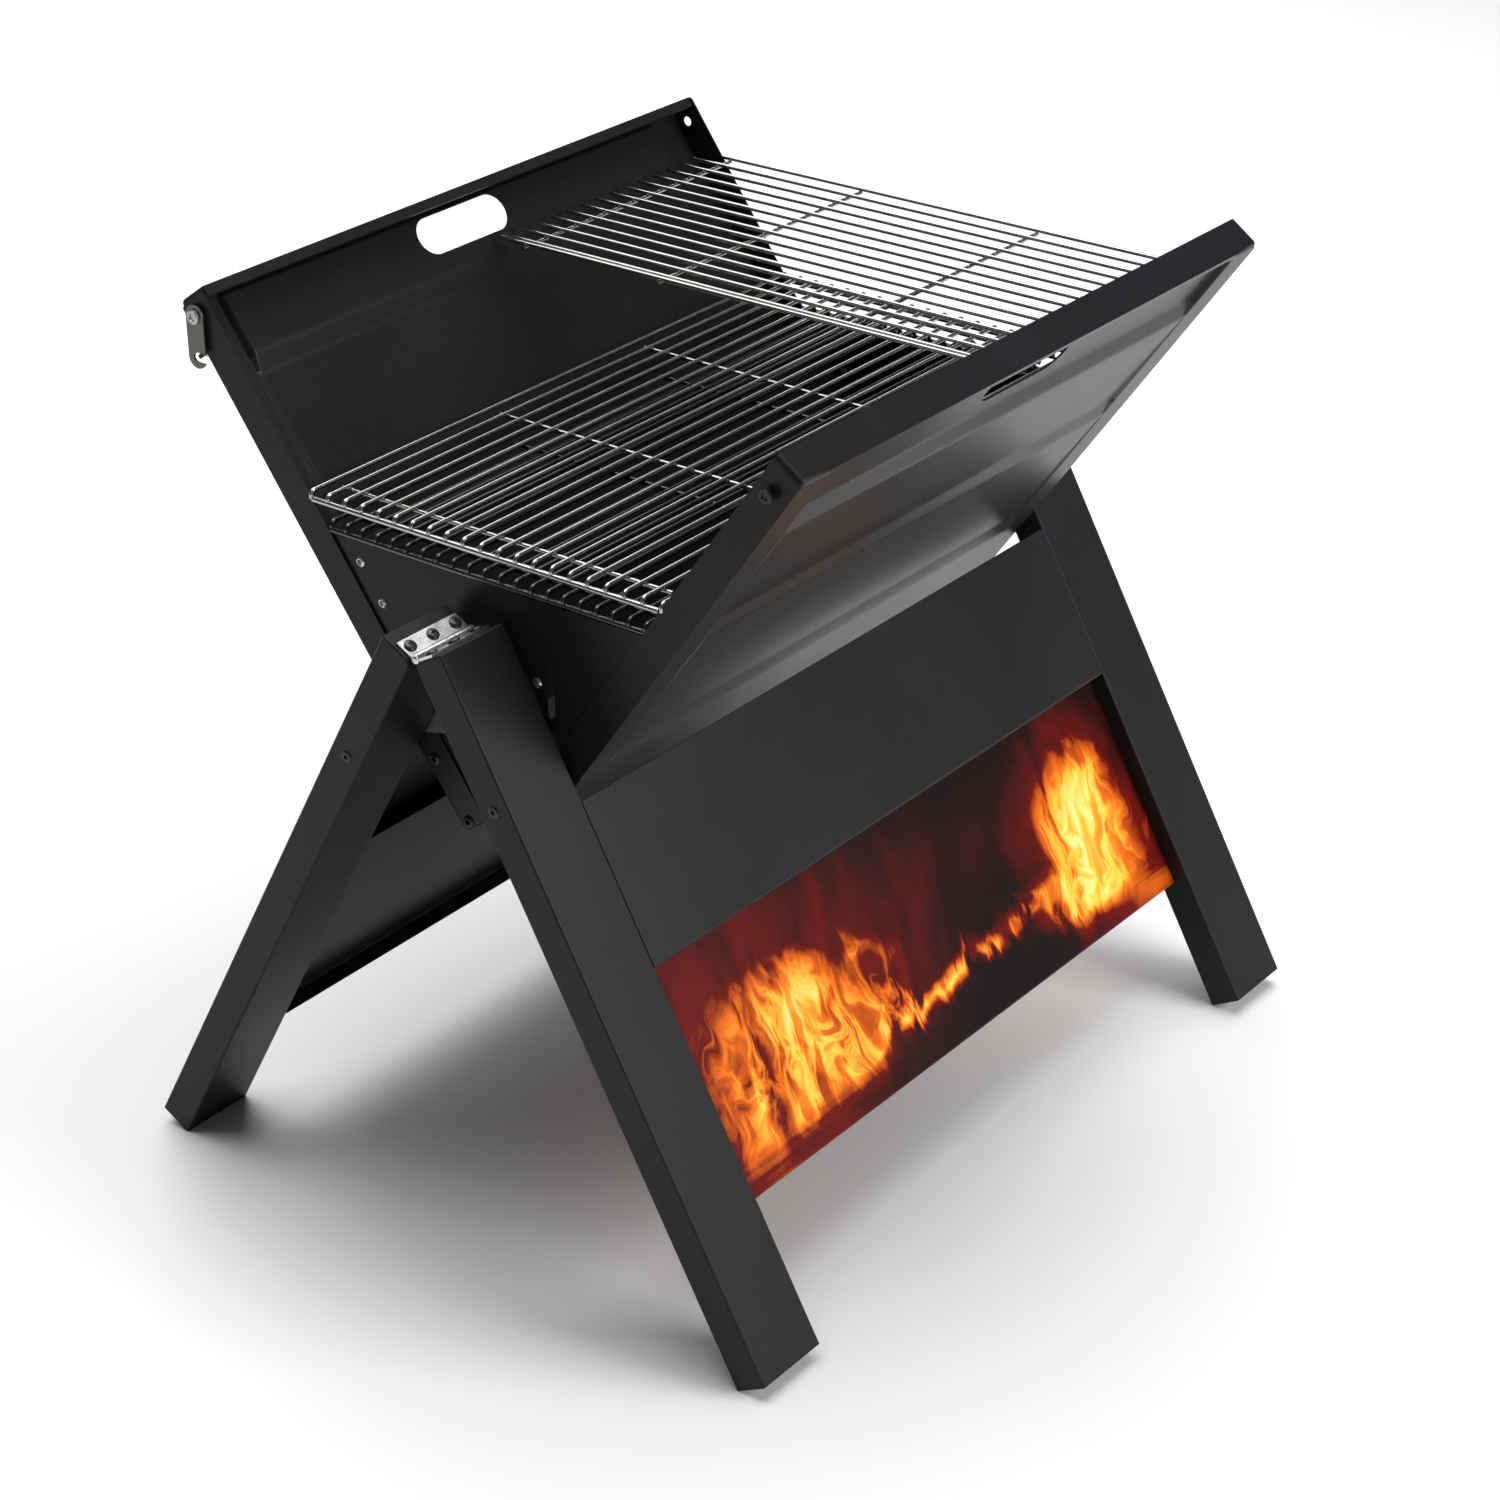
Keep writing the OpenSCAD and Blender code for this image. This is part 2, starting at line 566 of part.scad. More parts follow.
// Rods along Y over the right half, the two nearest the middle close
// together, on four wires along X. The last rod is shorter and rests on the
// pans' end walls
module warming_grate() {
    half = vee(warm_z - rod_r, warm_n);
    near = bar_x - floor(warm_share * 2 * bar_x / warm_pitch) * warm_pitch;
    color("#c4c4c8") {
        for (x = [near : warm_pitch : bar_x - 1]) rod_y(x, half, warm_z, rod_r);
        rod_y(near - warm_pair, half, warm_z, rod_r);
        rod_y(bar_x, vee(warm_z - rod_r, lip_n - fit), warm_z, rod_r);
        for (y = [-warm_wires[1], -warm_wires[0], warm_wires[0], warm_wires[1]])
            rod_x(near - warm_pair - 3, bar_x, y * half, warm_z - 2 * rod_r + weld, rod_r);
    }
}

rear_leg_left();
rear_leg_right();
front_leg_left();
front_leg_right();
rear_foot_caps();
front_foot_caps();
rear_apron();
front_apron();
rear_panel();
front_panel();
rear_hinge_leaves();
front_hinge_leaves();
hinge_pins();
rear_hinge_screws();
front_hinge_screws();
rear_pivot_bolts();
front_pivot_bolts();
rear_pivot_nuts();
front_pivot_nuts();
rear_spacers();
front_spacers();
stay_studs();
stay_left();
stay_right();
rear_pan();
front_pan();
rear_pan_rivets();
front_pan_rivets();
bottom_hinge_rear();
bottom_hinge_front();
bottom_hinge_pin();
latch_strap();
latch_screw();
catch_stud();
wing_stud();
wing_nut();
charcoal_tray();
end_plate_left();
end_plate_right();
tray_rivets();
charcoal_grate();
cooking_grate();
warming_grate();
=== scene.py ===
import json
import math

import bmesh
import bpy
from mathutils import Matrix, Vector


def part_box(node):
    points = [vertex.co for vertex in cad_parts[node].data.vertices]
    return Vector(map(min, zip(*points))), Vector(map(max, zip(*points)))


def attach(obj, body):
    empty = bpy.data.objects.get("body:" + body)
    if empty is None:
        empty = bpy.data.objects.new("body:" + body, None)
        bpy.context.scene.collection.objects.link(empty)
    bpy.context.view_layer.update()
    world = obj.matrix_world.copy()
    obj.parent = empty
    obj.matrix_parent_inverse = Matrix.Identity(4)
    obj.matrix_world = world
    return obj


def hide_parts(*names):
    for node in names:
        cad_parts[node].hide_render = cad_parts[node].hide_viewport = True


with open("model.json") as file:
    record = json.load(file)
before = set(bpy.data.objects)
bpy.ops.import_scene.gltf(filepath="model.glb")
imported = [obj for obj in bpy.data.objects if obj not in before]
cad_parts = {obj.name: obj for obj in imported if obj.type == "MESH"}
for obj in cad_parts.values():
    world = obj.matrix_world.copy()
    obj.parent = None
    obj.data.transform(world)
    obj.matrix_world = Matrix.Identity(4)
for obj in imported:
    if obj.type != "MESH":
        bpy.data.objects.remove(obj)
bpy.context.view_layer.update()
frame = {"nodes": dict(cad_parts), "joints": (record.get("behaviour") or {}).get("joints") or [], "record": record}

bl_info = {
    "name": "Folding camp grill",
    "version": (1, 0, 0),
    "blender": (4, 5, 0),
    "location": "View3D > Sidebar > Grill",
    "description": "Builds the pressed pans, legs, hinges, grates and fittings of a folding charcoal grill",
    "category": "Add Mesh",
}

# ---- The frame ---------------------------------------------------------------
# Shapes are drawn in millimetres, in the coordinates of the part that they
# belong to, and then placed in the frame's metres.
RECORD = frame["record"]
JOINTS = {joint["name"]: joint for joint in frame["joints"]}
RATIOS = {pair["joint"]: pair["ratio"] for pair in RECORD["behaviour"]["couplings"]}
BODY_OF = {node: body for body, nodes in RECORD["behaviour"]["bodies"].items() for node in nodes}

MM = 0.001
FOLD = JOINTS["leg_fold"]["range_deg"][1]
LEG_TILT = math.radians(FOLD / 2)
PAN_TILT = math.radians(RATIOS["rear_pan_fold"] * FOLD - FOLD / 2)
HINGE_Z = JOINTS["leg_fold"]["pos_m"][2] / MM
TROUGH_Z = sum(corner.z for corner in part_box("bottom_hinge_pin")) / 2 / MM

UPRIGHT = Matrix.Scale(MM, 4)
OTHER_END = Matrix.Scale(-1, 4, (1, 0, 0))
OTHER_SIDE = Matrix.Scale(-1, 4, (0, 1, 0))


def tilted(height, angle):
    """Coordinates along X, outwards and upwards of a part that leans from a line along X."""
    return UPRIGHT @ Matrix.Translation((0, 0, height)) @ Matrix.Rotation(angle, 4, "X")


REAR_LEG = tilted(HINGE_Z, LEG_TILT)
FRONT_LEG = OTHER_SIDE @ REAR_LEG
REAR_PAN = tilted(TROUGH_Z, -PAN_TILT)
FRONT_PAN = OTHER_SIDE @ REAR_PAN
LEG_SIDES = (("rear", REAR_LEG), ("front", FRONT_LEG))

# The pan's pressed steps: upper edge and drop up the slope, depth inwards
STEPS = ((338, 13.5, 5), (236.5, 14.5, 2.5), (109, 15, 2.5))
BEAD_MARGIN = 31
# Full depth band under the pan's top edge, and the run of the bend below it
RIM_BAND, RIM_DROP = 5.5, 2.3
# Reach of the tighter bends there, and how far above the hand strip they begin
RIM_ROUND, RIM_START = 0.6, 10
SLOT_DROP = 21.5
HEM = 7
SHEET = 1.2
LEG_WALL = 1.5


# ---- Settings ----------------------------------------------------------------
class GrillSizes(bpy.types.PropertyGroup):
    """Sizes of the details that the frame leaves open."""

    edge: bpy.props.FloatProperty(
        name="Sheet edge", description="Rounding of cut sheet edges",
        default=0.0003, min=0.0001, max=0.0006, unit="LENGTH")
    pan_bend: bpy.props.FloatProperty(
        name="Pan bend", description="Outer radius of the bends around the pans",
        default=0.0034, min=0.001, max=0.005, unit="LENGTH")
    bead_round: bpy.props.FloatProperty(
        name="Bead rounding", description="Reach of the soft bends of the pressed steps",
        default=0.0022, min=0.0005, max=0.004, unit="LENGTH")
    bead_end: bpy.props.FloatProperty(
        name="Bead end", description="Length over which a pressed step runs out at its ends",
        default=0.005, min=0.001, max=0.012, unit="LENGTH")
    leg_corner: bpy.props.FloatProperty(
        name="Leg corner", description="Outer radius of the leg tubes' corners",
        default=0.0014, min=0.0005, max=0.003, unit="LENGTH")
    sheet_bend: bpy.props.FloatProperty(
        name="Sheet bend", description="Bend radius of aprons and panels",
        default=0.0018, min=0.001, max=0.004, unit="LENGTH")
    slot_length: bpy.props.FloatProperty(
        name="Hand slot length", description="Length of the hand slots",
        default=0.086, min=0.07, max=0.11, unit="LENGTH")
    slot_width: bpy.props.FloatProperty(
        name="Hand slot width", description="Width of the hand slots",
        default=0.0265, min=0.02, max=0.03, unit="LENGTH")
    wire_bend: bpy.props.FloatProperty(
        name="Wire bend", description="Bend radius of the rods' turned ends",
        default=0.0028, min=0.002, max=0.004, unit="LENGTH")
    wire_sides: bpy.props.IntProperty(
        name="Wire sides", description="Facets around a grate rod", default=10, min=6, max=24)


class GrillColours(bpy.types.PropertyGroup):
    """Colours of the finishes."""

    leg: bpy.props.FloatVectorProperty(
        name="Leg coat", description="Powder coat of the legs",
        default=(0.012, 0.0125, 0.014), size=3, min=0, max=1, subtype="COLOR")
    sheet: bpy.props.FloatVectorProperty(
        name="Sheet coat", description="Powder coat of aprons and panels",
        default=(0.014, 0.015, 0.017), size=3, min=0, max=1, subtype="COLOR")
    pan: bpy.props.FloatVectorProperty(
        name="Pan coat", description="Heat resistant coat of the pans",
        default=(0.0105, 0.011, 0.0125), size=3, min=0, max=1, subtype="COLOR")
    wire: bpy.props.FloatVectorProperty(
        name="Wire", description="Nickel plate of the grates",
        default=(0.56, 0.55, 0.53), size=3, min=0, max=1, subtype="COLOR")
    zinc: bpy.props.FloatVectorProperty(
        name="Zinc", description="Zinc plate of hinges and fasteners",
        default=(0.72, 0.72, 0.73), size=3, min=0, max=1, subtype="COLOR")
    ember: bpy.props.FloatVectorProperty(
        name="Ember red", description="Dark red of the printed fire",
        default=(0.16, 0.004, 0.001), size=3, min=0, max=1, subtype="COLOR")
    flame: bpy.props.FloatVectorProperty(
        name="Flame orange", description="Orange of the printed fire",
        default=(0.88, 0.16, 0.006), size=3, min=0, max=1, subtype="COLOR")
    blaze: bpy.props.FloatVectorProperty(
        name="Blaze yellow", description="Yellow of the printed fire's hottest tongues",
        default=(1.0, 0.62, 0.06), size=3, min=0, max=1, subtype="COLOR")
    floor: bpy.props.FloatVectorProperty(
        name="Floor", description="Studio floor",
        default=(0.88, 0.88, 0.88), size=3, min=0, max=1, subtype="COLOR")


class GrillStage(bpy.types.PropertyGroup):
    """Camera and lights."""

    azimuth: bpy.props.FloatProperty(
        name="Azimuth", description="Turn of the camera around the grill",
        default=math.radians(-52.17), subtype="ANGLE")
    elevation: bpy.props.FloatProperty(
        name="Elevation", description="Height of the camera above the horizon",
        default=math.radians(27.49), subtype="ANGLE")
    roll: bpy.props.FloatProperty(
        name="Roll", description="Turn of the camera about its own axis",
        default=math.radians(-0.57), subtype="ANGLE")
    offset: bpy.props.FloatVectorProperty(
        name="Offset", description="Place of the camera along its own right, up and back",
        default=(0.0086, 0.2135, 2.5264), size=3, unit="LENGTH")
    lens: bpy.props.FloatProperty(
        name="Lens", description="Focal length in millimetres", default=85.1, min=20, max=200)
    key: bpy.props.FloatProperty(
        name="Key light", description="Power of the large light in front",
        default=60, min=0, unit="POWER")
    top: bpy.props.FloatProperty(
        name="Top light", description="Power of the light overhead",
        default=262, min=0, unit="POWER")
    fill: bpy.props.FloatProperty(
        name="Fill light", description="Power of the light behind the grill",
        default=30, min=0, unit="POWER")


# ---- Drawing shapes ----------------------------------------------------------
def bevelled(bm, edges, radius, segments):
    """Rounds edges."""
    bmesh.ops.bevel(
        bm, geom=edges, offset=radius, offset_type="OFFSET", segments=segments,
        profile=0.5, affect="EDGES", material=-1, clamp_overlap=True)


def add(bm, part, place=Matrix.Identity(4)):
    """Adds another shape at a place, turned right side out."""
    copy = part.copy()
    bmesh.ops.transform(copy, matrix=place, verts=copy.verts)
    if place.determinant() < 0:
        bmesh.ops.reverse_faces(copy, faces=copy.faces)
    mesh = bpy.data.meshes.new("part")
    copy.to_mesh(mesh)
    copy.free()
    bm.from_mesh(mesh)
    bpy.data.meshes.remove(mesh)


def box_shape(low, high):
    """A block from one corner to the other."""
    bm = bmesh.new()
    low, high = Vector(low), Vector(high)
    size = Matrix.Diagonal((*(high - low), 1))
    bmesh.ops.create_cube(bm, size=1, matrix=Matrix.Translation((low + high) / 2) @ size)
    return bm


def turned(outline, sides=32):
    """A body of revolution about X from points of station and radius."""
    bm = bmesh.new()
    points = [bm.verts.new((station, 0, radius)) for station, radius in outline]
    lines = [bm.edges.new(pair) for pair in zip(points, points[1:])]
    bmesh.ops.spin(
        bm, geom=points + lines, cent=(0, 0, 0), axis=(1, 0, 0), angle=math.tau,
        steps=sides, use_merge=True)
    bmesh.ops.remove_doubles(bm, verts=bm.verts, dist=0.001)
    bmesh.ops.recalc_face_normals(bm, faces=bm.faces)
    return bm


def pulled(bm, edges):
    """Extrudes a ring or a line, and returns its new edges and points."""
    made = bmesh.ops.extrude_edge_only(bm, edges=edges)["geom"]
    points = [item for item in made if isinstance(item, bmesh.types.BMVert)]
    ring = [item for item in made if isinstance(item, bmesh.types.BMEdge)
            and all(end in points for end in item.verts)]
    return ring, points


def wire(points, radius, bend, sides, steps=4):
    """A round wire along straight runs, with one bend radius at its corners."""
    bm = bmesh.new()
    points = [Vector(point) for point in points]
    way = (points[1] - points[0]).normalized()
    facing = Matrix.Translation(points[0]) @ way.to_track_quat("Z", "Y").to_matrix().to_4x4()
    bmesh.ops.create_circle(bm, cap_ends=False, radius=radius, segments=sides, matrix=facing)
    first = ring = list(bm.edges)
    here = points[0]
    for corner, after in zip(points[1:-1], points[2:]):
        ahead = (after - corner).normalized()
        angle = way.angle(ahead)
        start = corner - way * bend * math.tan(angle / 2)
        ring, ends = pulled(bm, ring)
        bmesh.ops.translate(bm, vec=start - here, verts=ends)
        axis = way.cross(ahead).normalized()
        centre = start + axis.cross(way) * bend
        for _ in range(steps):
            ring, ends = pulled(bm, ring)
            bmesh.ops.rotate(bm, cent=centre, matrix=Matrix.Rotation(angle / steps, 3, axis), verts=ends)
        here = corner + ahead * bend * math.tan(angle / 2)
        way = ahead
    ring, ends = pulled(bm, ring)
    bmesh.ops.translate(bm, vec=points[-1] - here, verts=ends)
    for rim in (first, ring):
        bmesh.ops.edgeloop_fill(bm, edges=rim)
    bmesh.ops.recalc_face_normals(bm, faces=bm.faces)
    return bm


def held(bm):
    """A shape as an object of its own."""
    mesh = bpy.data.meshes.new("shape")
    bm.to_mesh(mesh)
    bm.free()
    block = bpy.data.objects.new("shape", mesh)
    bpy.context.scene.collection.objects.link(block)
    return block


def discard(block):
    """Takes an object and its mesh away."""
    mesh = block.data
    bpy.data.objects.remove(block)
    bpy.data.meshes.remove(mesh)


def worked(bm, *steps):
    """A shape after modifiers, each given as its type and its settings."""
    block = held(bm)
    for kind, settings in steps:
        modifier = block.modifiers.new(kind, kind)
        for name, value in settings.items():
            setattr(modifier, name, value)
    depsgraph = bpy.context.evaluated_depsgraph_get()
    done = bmesh.new()
    done.from_mesh(block.evaluated_get(depsgraph).to_mesh())
    discard(block)
    return done


def wall(thickness, offset=-1):
    """A step that gives a surface its thickness."""
    return "SOLIDIFY", {"thickness": thickness, "offset": offset, "use_even_offset": True}


def soft_edges(width, limit=40):
    """A step that breaks sharp edges."""
    return "BEVEL", {"width": width, "segments": 2, "limit_method": "ANGLE",
                     "angle_limit": math.radians(limit), "profile": 0.5}


def cut(cutter):
    """A step that cuts another shape out."""
    return "BOOLEAN", {"object": cutter, "operation": "DIFFERENCE", "solver": "EXACT"}


def without(bm, *cutters):
    """A shape with others cut out of it."""
    blocks = [held(cutter) for cutter in cutters]
    done = worked(bm, *[cut(block) for block in blocks])
    for block in blocks:
        discard(block)
    return done


def folded_sheet(line, length, thickness, bend):
    """A strip of sheet folded along a middle line of outwards and upwards points."""
    bm = bmesh.new()
    points = [bm.verts.new((-length / 2, *point)) for point in line]
    lines = [bm.edges.new(pair) for pair in zip(points, points[1:])]
    _, ends = pulled(bm, lines)
    bmesh.ops.translate(bm, vec=(length, 0, 0), verts=ends)
    bevelled(bm, [edge for edge in bm.edges if len(edge.link_faces) == 2], bend, 5)
    bmesh.ops.recalc_face_normals(bm, faces=bm.faces)
    return worked(bm, wall(thickness, 0))


# ---- Reading the frame -------------------------------------------------------
def points_of(node, place):
    """A node's points in the coordinates of a place."""
    back = place.inverted()
    return [back @ vertex.co for vertex in frame["nodes"][node].data.vertices]


def corners(points):
    """Lowest and highest corner of some points."""
    return tuple(Vector([pick(point[k] for point in points) for k in range(3)]) for pick in (min, max))


def local_box(node, place):
    """Lowest and highest corner of a node in the coordinates of a place."""
    return corners(points_of(node, place))


def joined_copy(node):
    """A copy of a node's mesh with its loose triangles joined."""
    bm = bmesh.new()
    bm.from_mesh(frame["nodes"][node].data)
    bmesh.ops.remove_doubles(bm, verts=bm.verts, dist=1e-6)
    return bm


def flat_copy(node):
    """A copy of a node's mesh with its triangles merged into flat faces."""
    bm = joined_copy(node)
    bmesh.ops.dissolve_limit(
        bm, angle_limit=math.radians(0.5), verts=bm.verts, edges=bm.edges)
    return bm


def seats(node, place):
    """Corners of each loose piece of a node in the coordinates of a place."""
    bm = joined_copy(node)
    bmesh.ops.transform(bm, matrix=place.inverted(), verts=bm.verts)
    found, seen = [], set()
    for vertex in bm.verts:
        if vertex in seen:
            continue
        group, queue = [], [vertex]
        seen.add(vertex)
        while queue:
            here = queue.pop()
            group.append(here.co.copy())
            for edge in here.link_edges:
                there = edge.other_vert(here)
                if there not in seen:
                    seen.add(there)
                    queue.append(there)
        found.append(corners(group))
    bm.free()
    return found


def at_seats(node, place, make):
    """One shape with a fastener at every loose piece of a node.

    make gets the fastener's inner and outer station and its radius, and draws it along X.
    """
    whole = bmesh.new()
    for low, high in seats(node, place):
        side = 1 if low.x + high.x > 0 else -1
        inner, outer = sorted((abs(low.x), abs(high.x)))
        part = make(inner, outer, (high.z - low.z) / 2)
        middle = (low + high) / 2
        add(whole, part, Matrix.Translation((0, middle.y, middle.z)) @ Matrix.Scale(side, 4, (1, 0, 0)))
        part.free()
    return whole


# ---- Pieces ------------------------------------------------------------------
def make_piece(node, bm, place, finish, sharp=32):
    """Turns a shape into the finished piece that stands for a node."""
    bmesh.ops.transform(bm, matrix=place, verts=bm.verts)
    if place.determinant() < 0:
        bmesh.ops.reverse_faces(bm, faces=bm.faces)
    if not bm.faces:
        raise RuntimeError(f"{node} came out empty")
    mesh = bpy.data.meshes.new(f"{node}.shape")
    bm.to_mesh(mesh)
    bm.free()
    mesh.shade_smooth()
    mesh.set_sharp_from_angle(angle=math.radians(sharp))
    mesh.materials.append(finish)
    piece = bpy.data.objects.new(f"{node}.piece", mesh)
    bpy.context.scene.collection.objects.link(piece)
    weights = piece.modifiers.new("Even shading", "WEIGHTED_NORMAL")
    weights.keep_sharp = True
    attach(piece, BODY_OF[node])
    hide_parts(node)


def softened(node, width, finish):
    """The finished piece of a node whose shape only needs its edges broken."""
    bm = flat_copy(node)
    bmesh.ops.transform(bm, matrix=UPRIGHT.inverted(), verts=bm.verts)
    make_piece(node, worked(bm, soft_edges(width)), UPRIGHT, finish)


def fasten(node, place, make, finish):
    """The finished fasteners of a node, one at each of its seats."""
    make_piece(node, at_seats(node, place, make), place, finish)


def paint(node, finish):
    """Gives a node that shows as it is its finish."""
    mesh = frame["nodes"][node].data
    mesh.materials.clear()
    mesh.materials.append(finish)


# ---- Shader building ---------------------------------------------------------
class Signal:
    """A shader socket that takes part in expressions."""

    def __init__(self, finish, socket):
        self.finish = finish
        self.socket = socket

    def _math(self, operation, first, second=0.0):
        return self.finish.node("ShaderNodeMath", {"operation": operation}, {0: first, 1: second})

    def __add__(self, other):
        return self._math("ADD", self, other)

    def __sub__(self, other):
        return self._math("SUBTRACT", self, other)

    def __rsub__(self, other):
        return self._math("SUBTRACT", other, self)

    def __mul__(self, other):
        return self._math("MULTIPLY", self, other)

    def __truediv__(self, other):
        return self._math("DIVIDE", self, other)

    def __pow__(self, other):
        return self._math("POWER", self, other)

    def __abs__(self):
        return self._math("ABSOLUTE", self)

    __radd__ = __add__
    __rmul__ = __mul__

    def capped(self):
        """The value kept between 0 and 1."""
        return self.finish.node("ShaderNodeClamp", {}, {0: self})


class Finish:
    """A material whose shader is put together node by node."""

    def __init__(self, name, **constants):
        self.material = bpy.data.materials.new(name)
        self.material.use_nodes = True
        self.tree = self.material.node_tree
        self.shader = self.tree.nodes["Principled BSDF"]
        for word, value in constants.items():
            self.shader.inputs[word.replace("_", " ")].default_value = value

    def feed(self, socket, value):
        """Links a signal to a socket, or sets its value."""
        if isinstance(value, Signal):
            self.tree.links.new(value.socket, socket)
        else:
            socket.default_value = value

    def node(self, kind, settings, inputs, output=0):
        """Adds a node, sets it up, feeds its sockets and returns one of its outputs."""
        made = self.tree.nodes.new(kind)
        for name, value in settings.items():
            if name == "stops":
                ramp = made.color_ramp
                while len(ramp.elements) < len(value):
                    ramp.elements.new(1.0)
                for element, (position, colour) in zip(ramp.elements, value):
                    element.position = position
                    element.color = colour
            else:
                setattr(made, name, value)
        for key, value in inputs.items():
            self.feed(made.inputs[key], value)
        return Signal(self, made.outputs[output])

    def place(self):
        """Object coordinates, in metres."""
        return self.node("ShaderNodeTexCoord", {}, {}, "Object")

    def mapped(self, vector, location=(0, 0, 0), scale=(1, 1, 1)):
        """Coordinates moved and scaled."""
        return self.node(
            "ShaderNodeMapping", {}, {"Vector": vector, "Location": location, "Scale": scale})

    def axes(self, vector):
        """The three parts of a vector."""
        first = self.node("ShaderNodeSeparateXYZ", {}, {0: vector})
        return [Signal(self, socket) for socket in first.socket.node.outputs]

    def noise(self, vector, scale, detail=2.0, roughness=0.5, distortion=0.0, output=0):
        """Soft noise of a number of features per metre."""
        return self.node(
            "ShaderNodeTexNoise", {},
            {"Vector": vector, "Scale": scale, "Detail": detail, "Roughness": roughness,
             "Distortion": distortion}, output)

    def mix(self, factor, first, second):
        """A blend of two colours."""
        return self.node(
            "ShaderNodeMix", {"data_type": "RGBA"},
            {0: factor, 6: first, 7: second}, 2)

    def smooth(self, value, start, end):
        """0 before start, 1 past end, and a soft rise between them."""
        return self.node(
            "ShaderNodeMapRange", {"interpolation_type": "SMOOTHSTEP"},
            {0: value, 1: start, 2: end, 3: 0.0, 4: 1.0})

    def surface(self, word, value):
        """Feeds a socket of the shader."""
        self.feed(self.shader.inputs[word], value)

    def bump(self, height, strength, distance):
        """Relief in the surface."""
        self.surface("Normal", self.node(
            "ShaderNodeBump", {}, {"Height": height, "Strength": strength, "Distance": distance}))


def shade(colour, factor):
    """A colour made lighter or darker, with its alpha."""
    return (*[min(1.0, part * factor) for part in colour], 1.0)


# ---- Finishes ----------------------------------------------------------------
def powder_coat(name, colour, roughness, peel):
    """Satin powder coat with orange peel, soft clouds and dust marks."""
    coat = Finish(name, Specular_IOR_Level=0.17)
    place = coat.place()
    grain = coat.noise(place, 520, 2)
    fine = coat.noise(place, 1500, 1)
    cloud = coat.noise(place, 8, 4, 0.6)
    marks = coat.smooth(coat.noise(place, 55, 5, 0.7), 0.62, 0.75)
    tone = (cloud + marks * 0.25).capped()
    coat.surface("Base Color", coat.mix(tone, shade(colour, 0.8), shade(colour, 1.3)))
    coat.surface("Roughness", cloud * 0.14 + grain * 0.08 + marks * 0.06 + (roughness - 0.12))
    coat.bump(grain + fine * 0.3, peel, 0.00022)
    return coat.material


def bright_wire(name, colour):
    """Plated wire with drawing marks and a faint heat tint."""
    plate = Finish(name, Metallic=1.0)
    place = plate.place()
    tint = plate.noise(place, 14, 3)
    marks = plate.noise(place, 900, 2)
    plate.surface("Base Color", plate.mix(tint, shade(colour, 0.72), shade(colour, 1.08)))
    plate.surface("Roughness", marks * 0.1 + tint * 0.08 + 0.1)
    plate.bump(marks, 0.12, 0.0001)
    return plate.material


def brushed_zinc(name, colour, roughness):
    """Zinc plate brushed along X, with a mottled sheen."""
    plate = Finish(name, Metallic=1.0)
    place = plate.place()
    strokes = plate.noise(plate.mapped(place, scale=(60, 2400, 2400)), 1.0, 3)
    mottle = plate.noise(place, 130, 4, 0.65)
    plate.surface("Base Color", plate.mix(mottle, shade(colour, 0.8), shade(colour, 1.08)))
    plate.surface("Roughness", strokes * 0.16 + mottle * 0.14 + (roughness - 0.15))
    plate.bump(strokes, 0.18, 0.0001)
    return plate.material


def black_oxide():
    """Oiled black oxide of the hinge screws."""
    oxide = Finish("black oxide", Specular_IOR_Level=0.6)
    place = oxide.place()
    wear = oxide.noise(place, 420, 4, 0.6)
    oxide.surface("Base Color", oxide.mix(wear, (0.008, 0.008, 0.009, 1), (0.03, 0.03, 0.032, 1)))
    oxide.surface("Roughness", wear * 0.2 + 0.2)
    oxide.bump(wear, 0.1, 0.0001)
    return oxide.material


def moulded_cap():
    """Matt moulded plastic of the foot caps."""
    plastic = Finish("moulded cap", Specular_IOR_Level=0.4)
    grain = plastic.noise(plastic.place(), 900, 3)
    plastic.surface("Base Color", plastic.mix(grain, (0.012, 0.012, 0.013, 1), (0.03, 0.03, 0.031, 1)))
    plastic.surface("Roughness", grain * 0.2 + 0.5)
    plastic.bump(grain, 0.3, 0.0002)
    return plastic.material


def oval(across, up, centre, reach):
    """A soft mask that is 1 in the middle of an oval and 0 at its rim."""
    far = ((across - centre[0]) / reach[0]) ** 2.0 + ((up - centre[1]) / reach[1]) ** 2.0
    return (1 - far).capped()


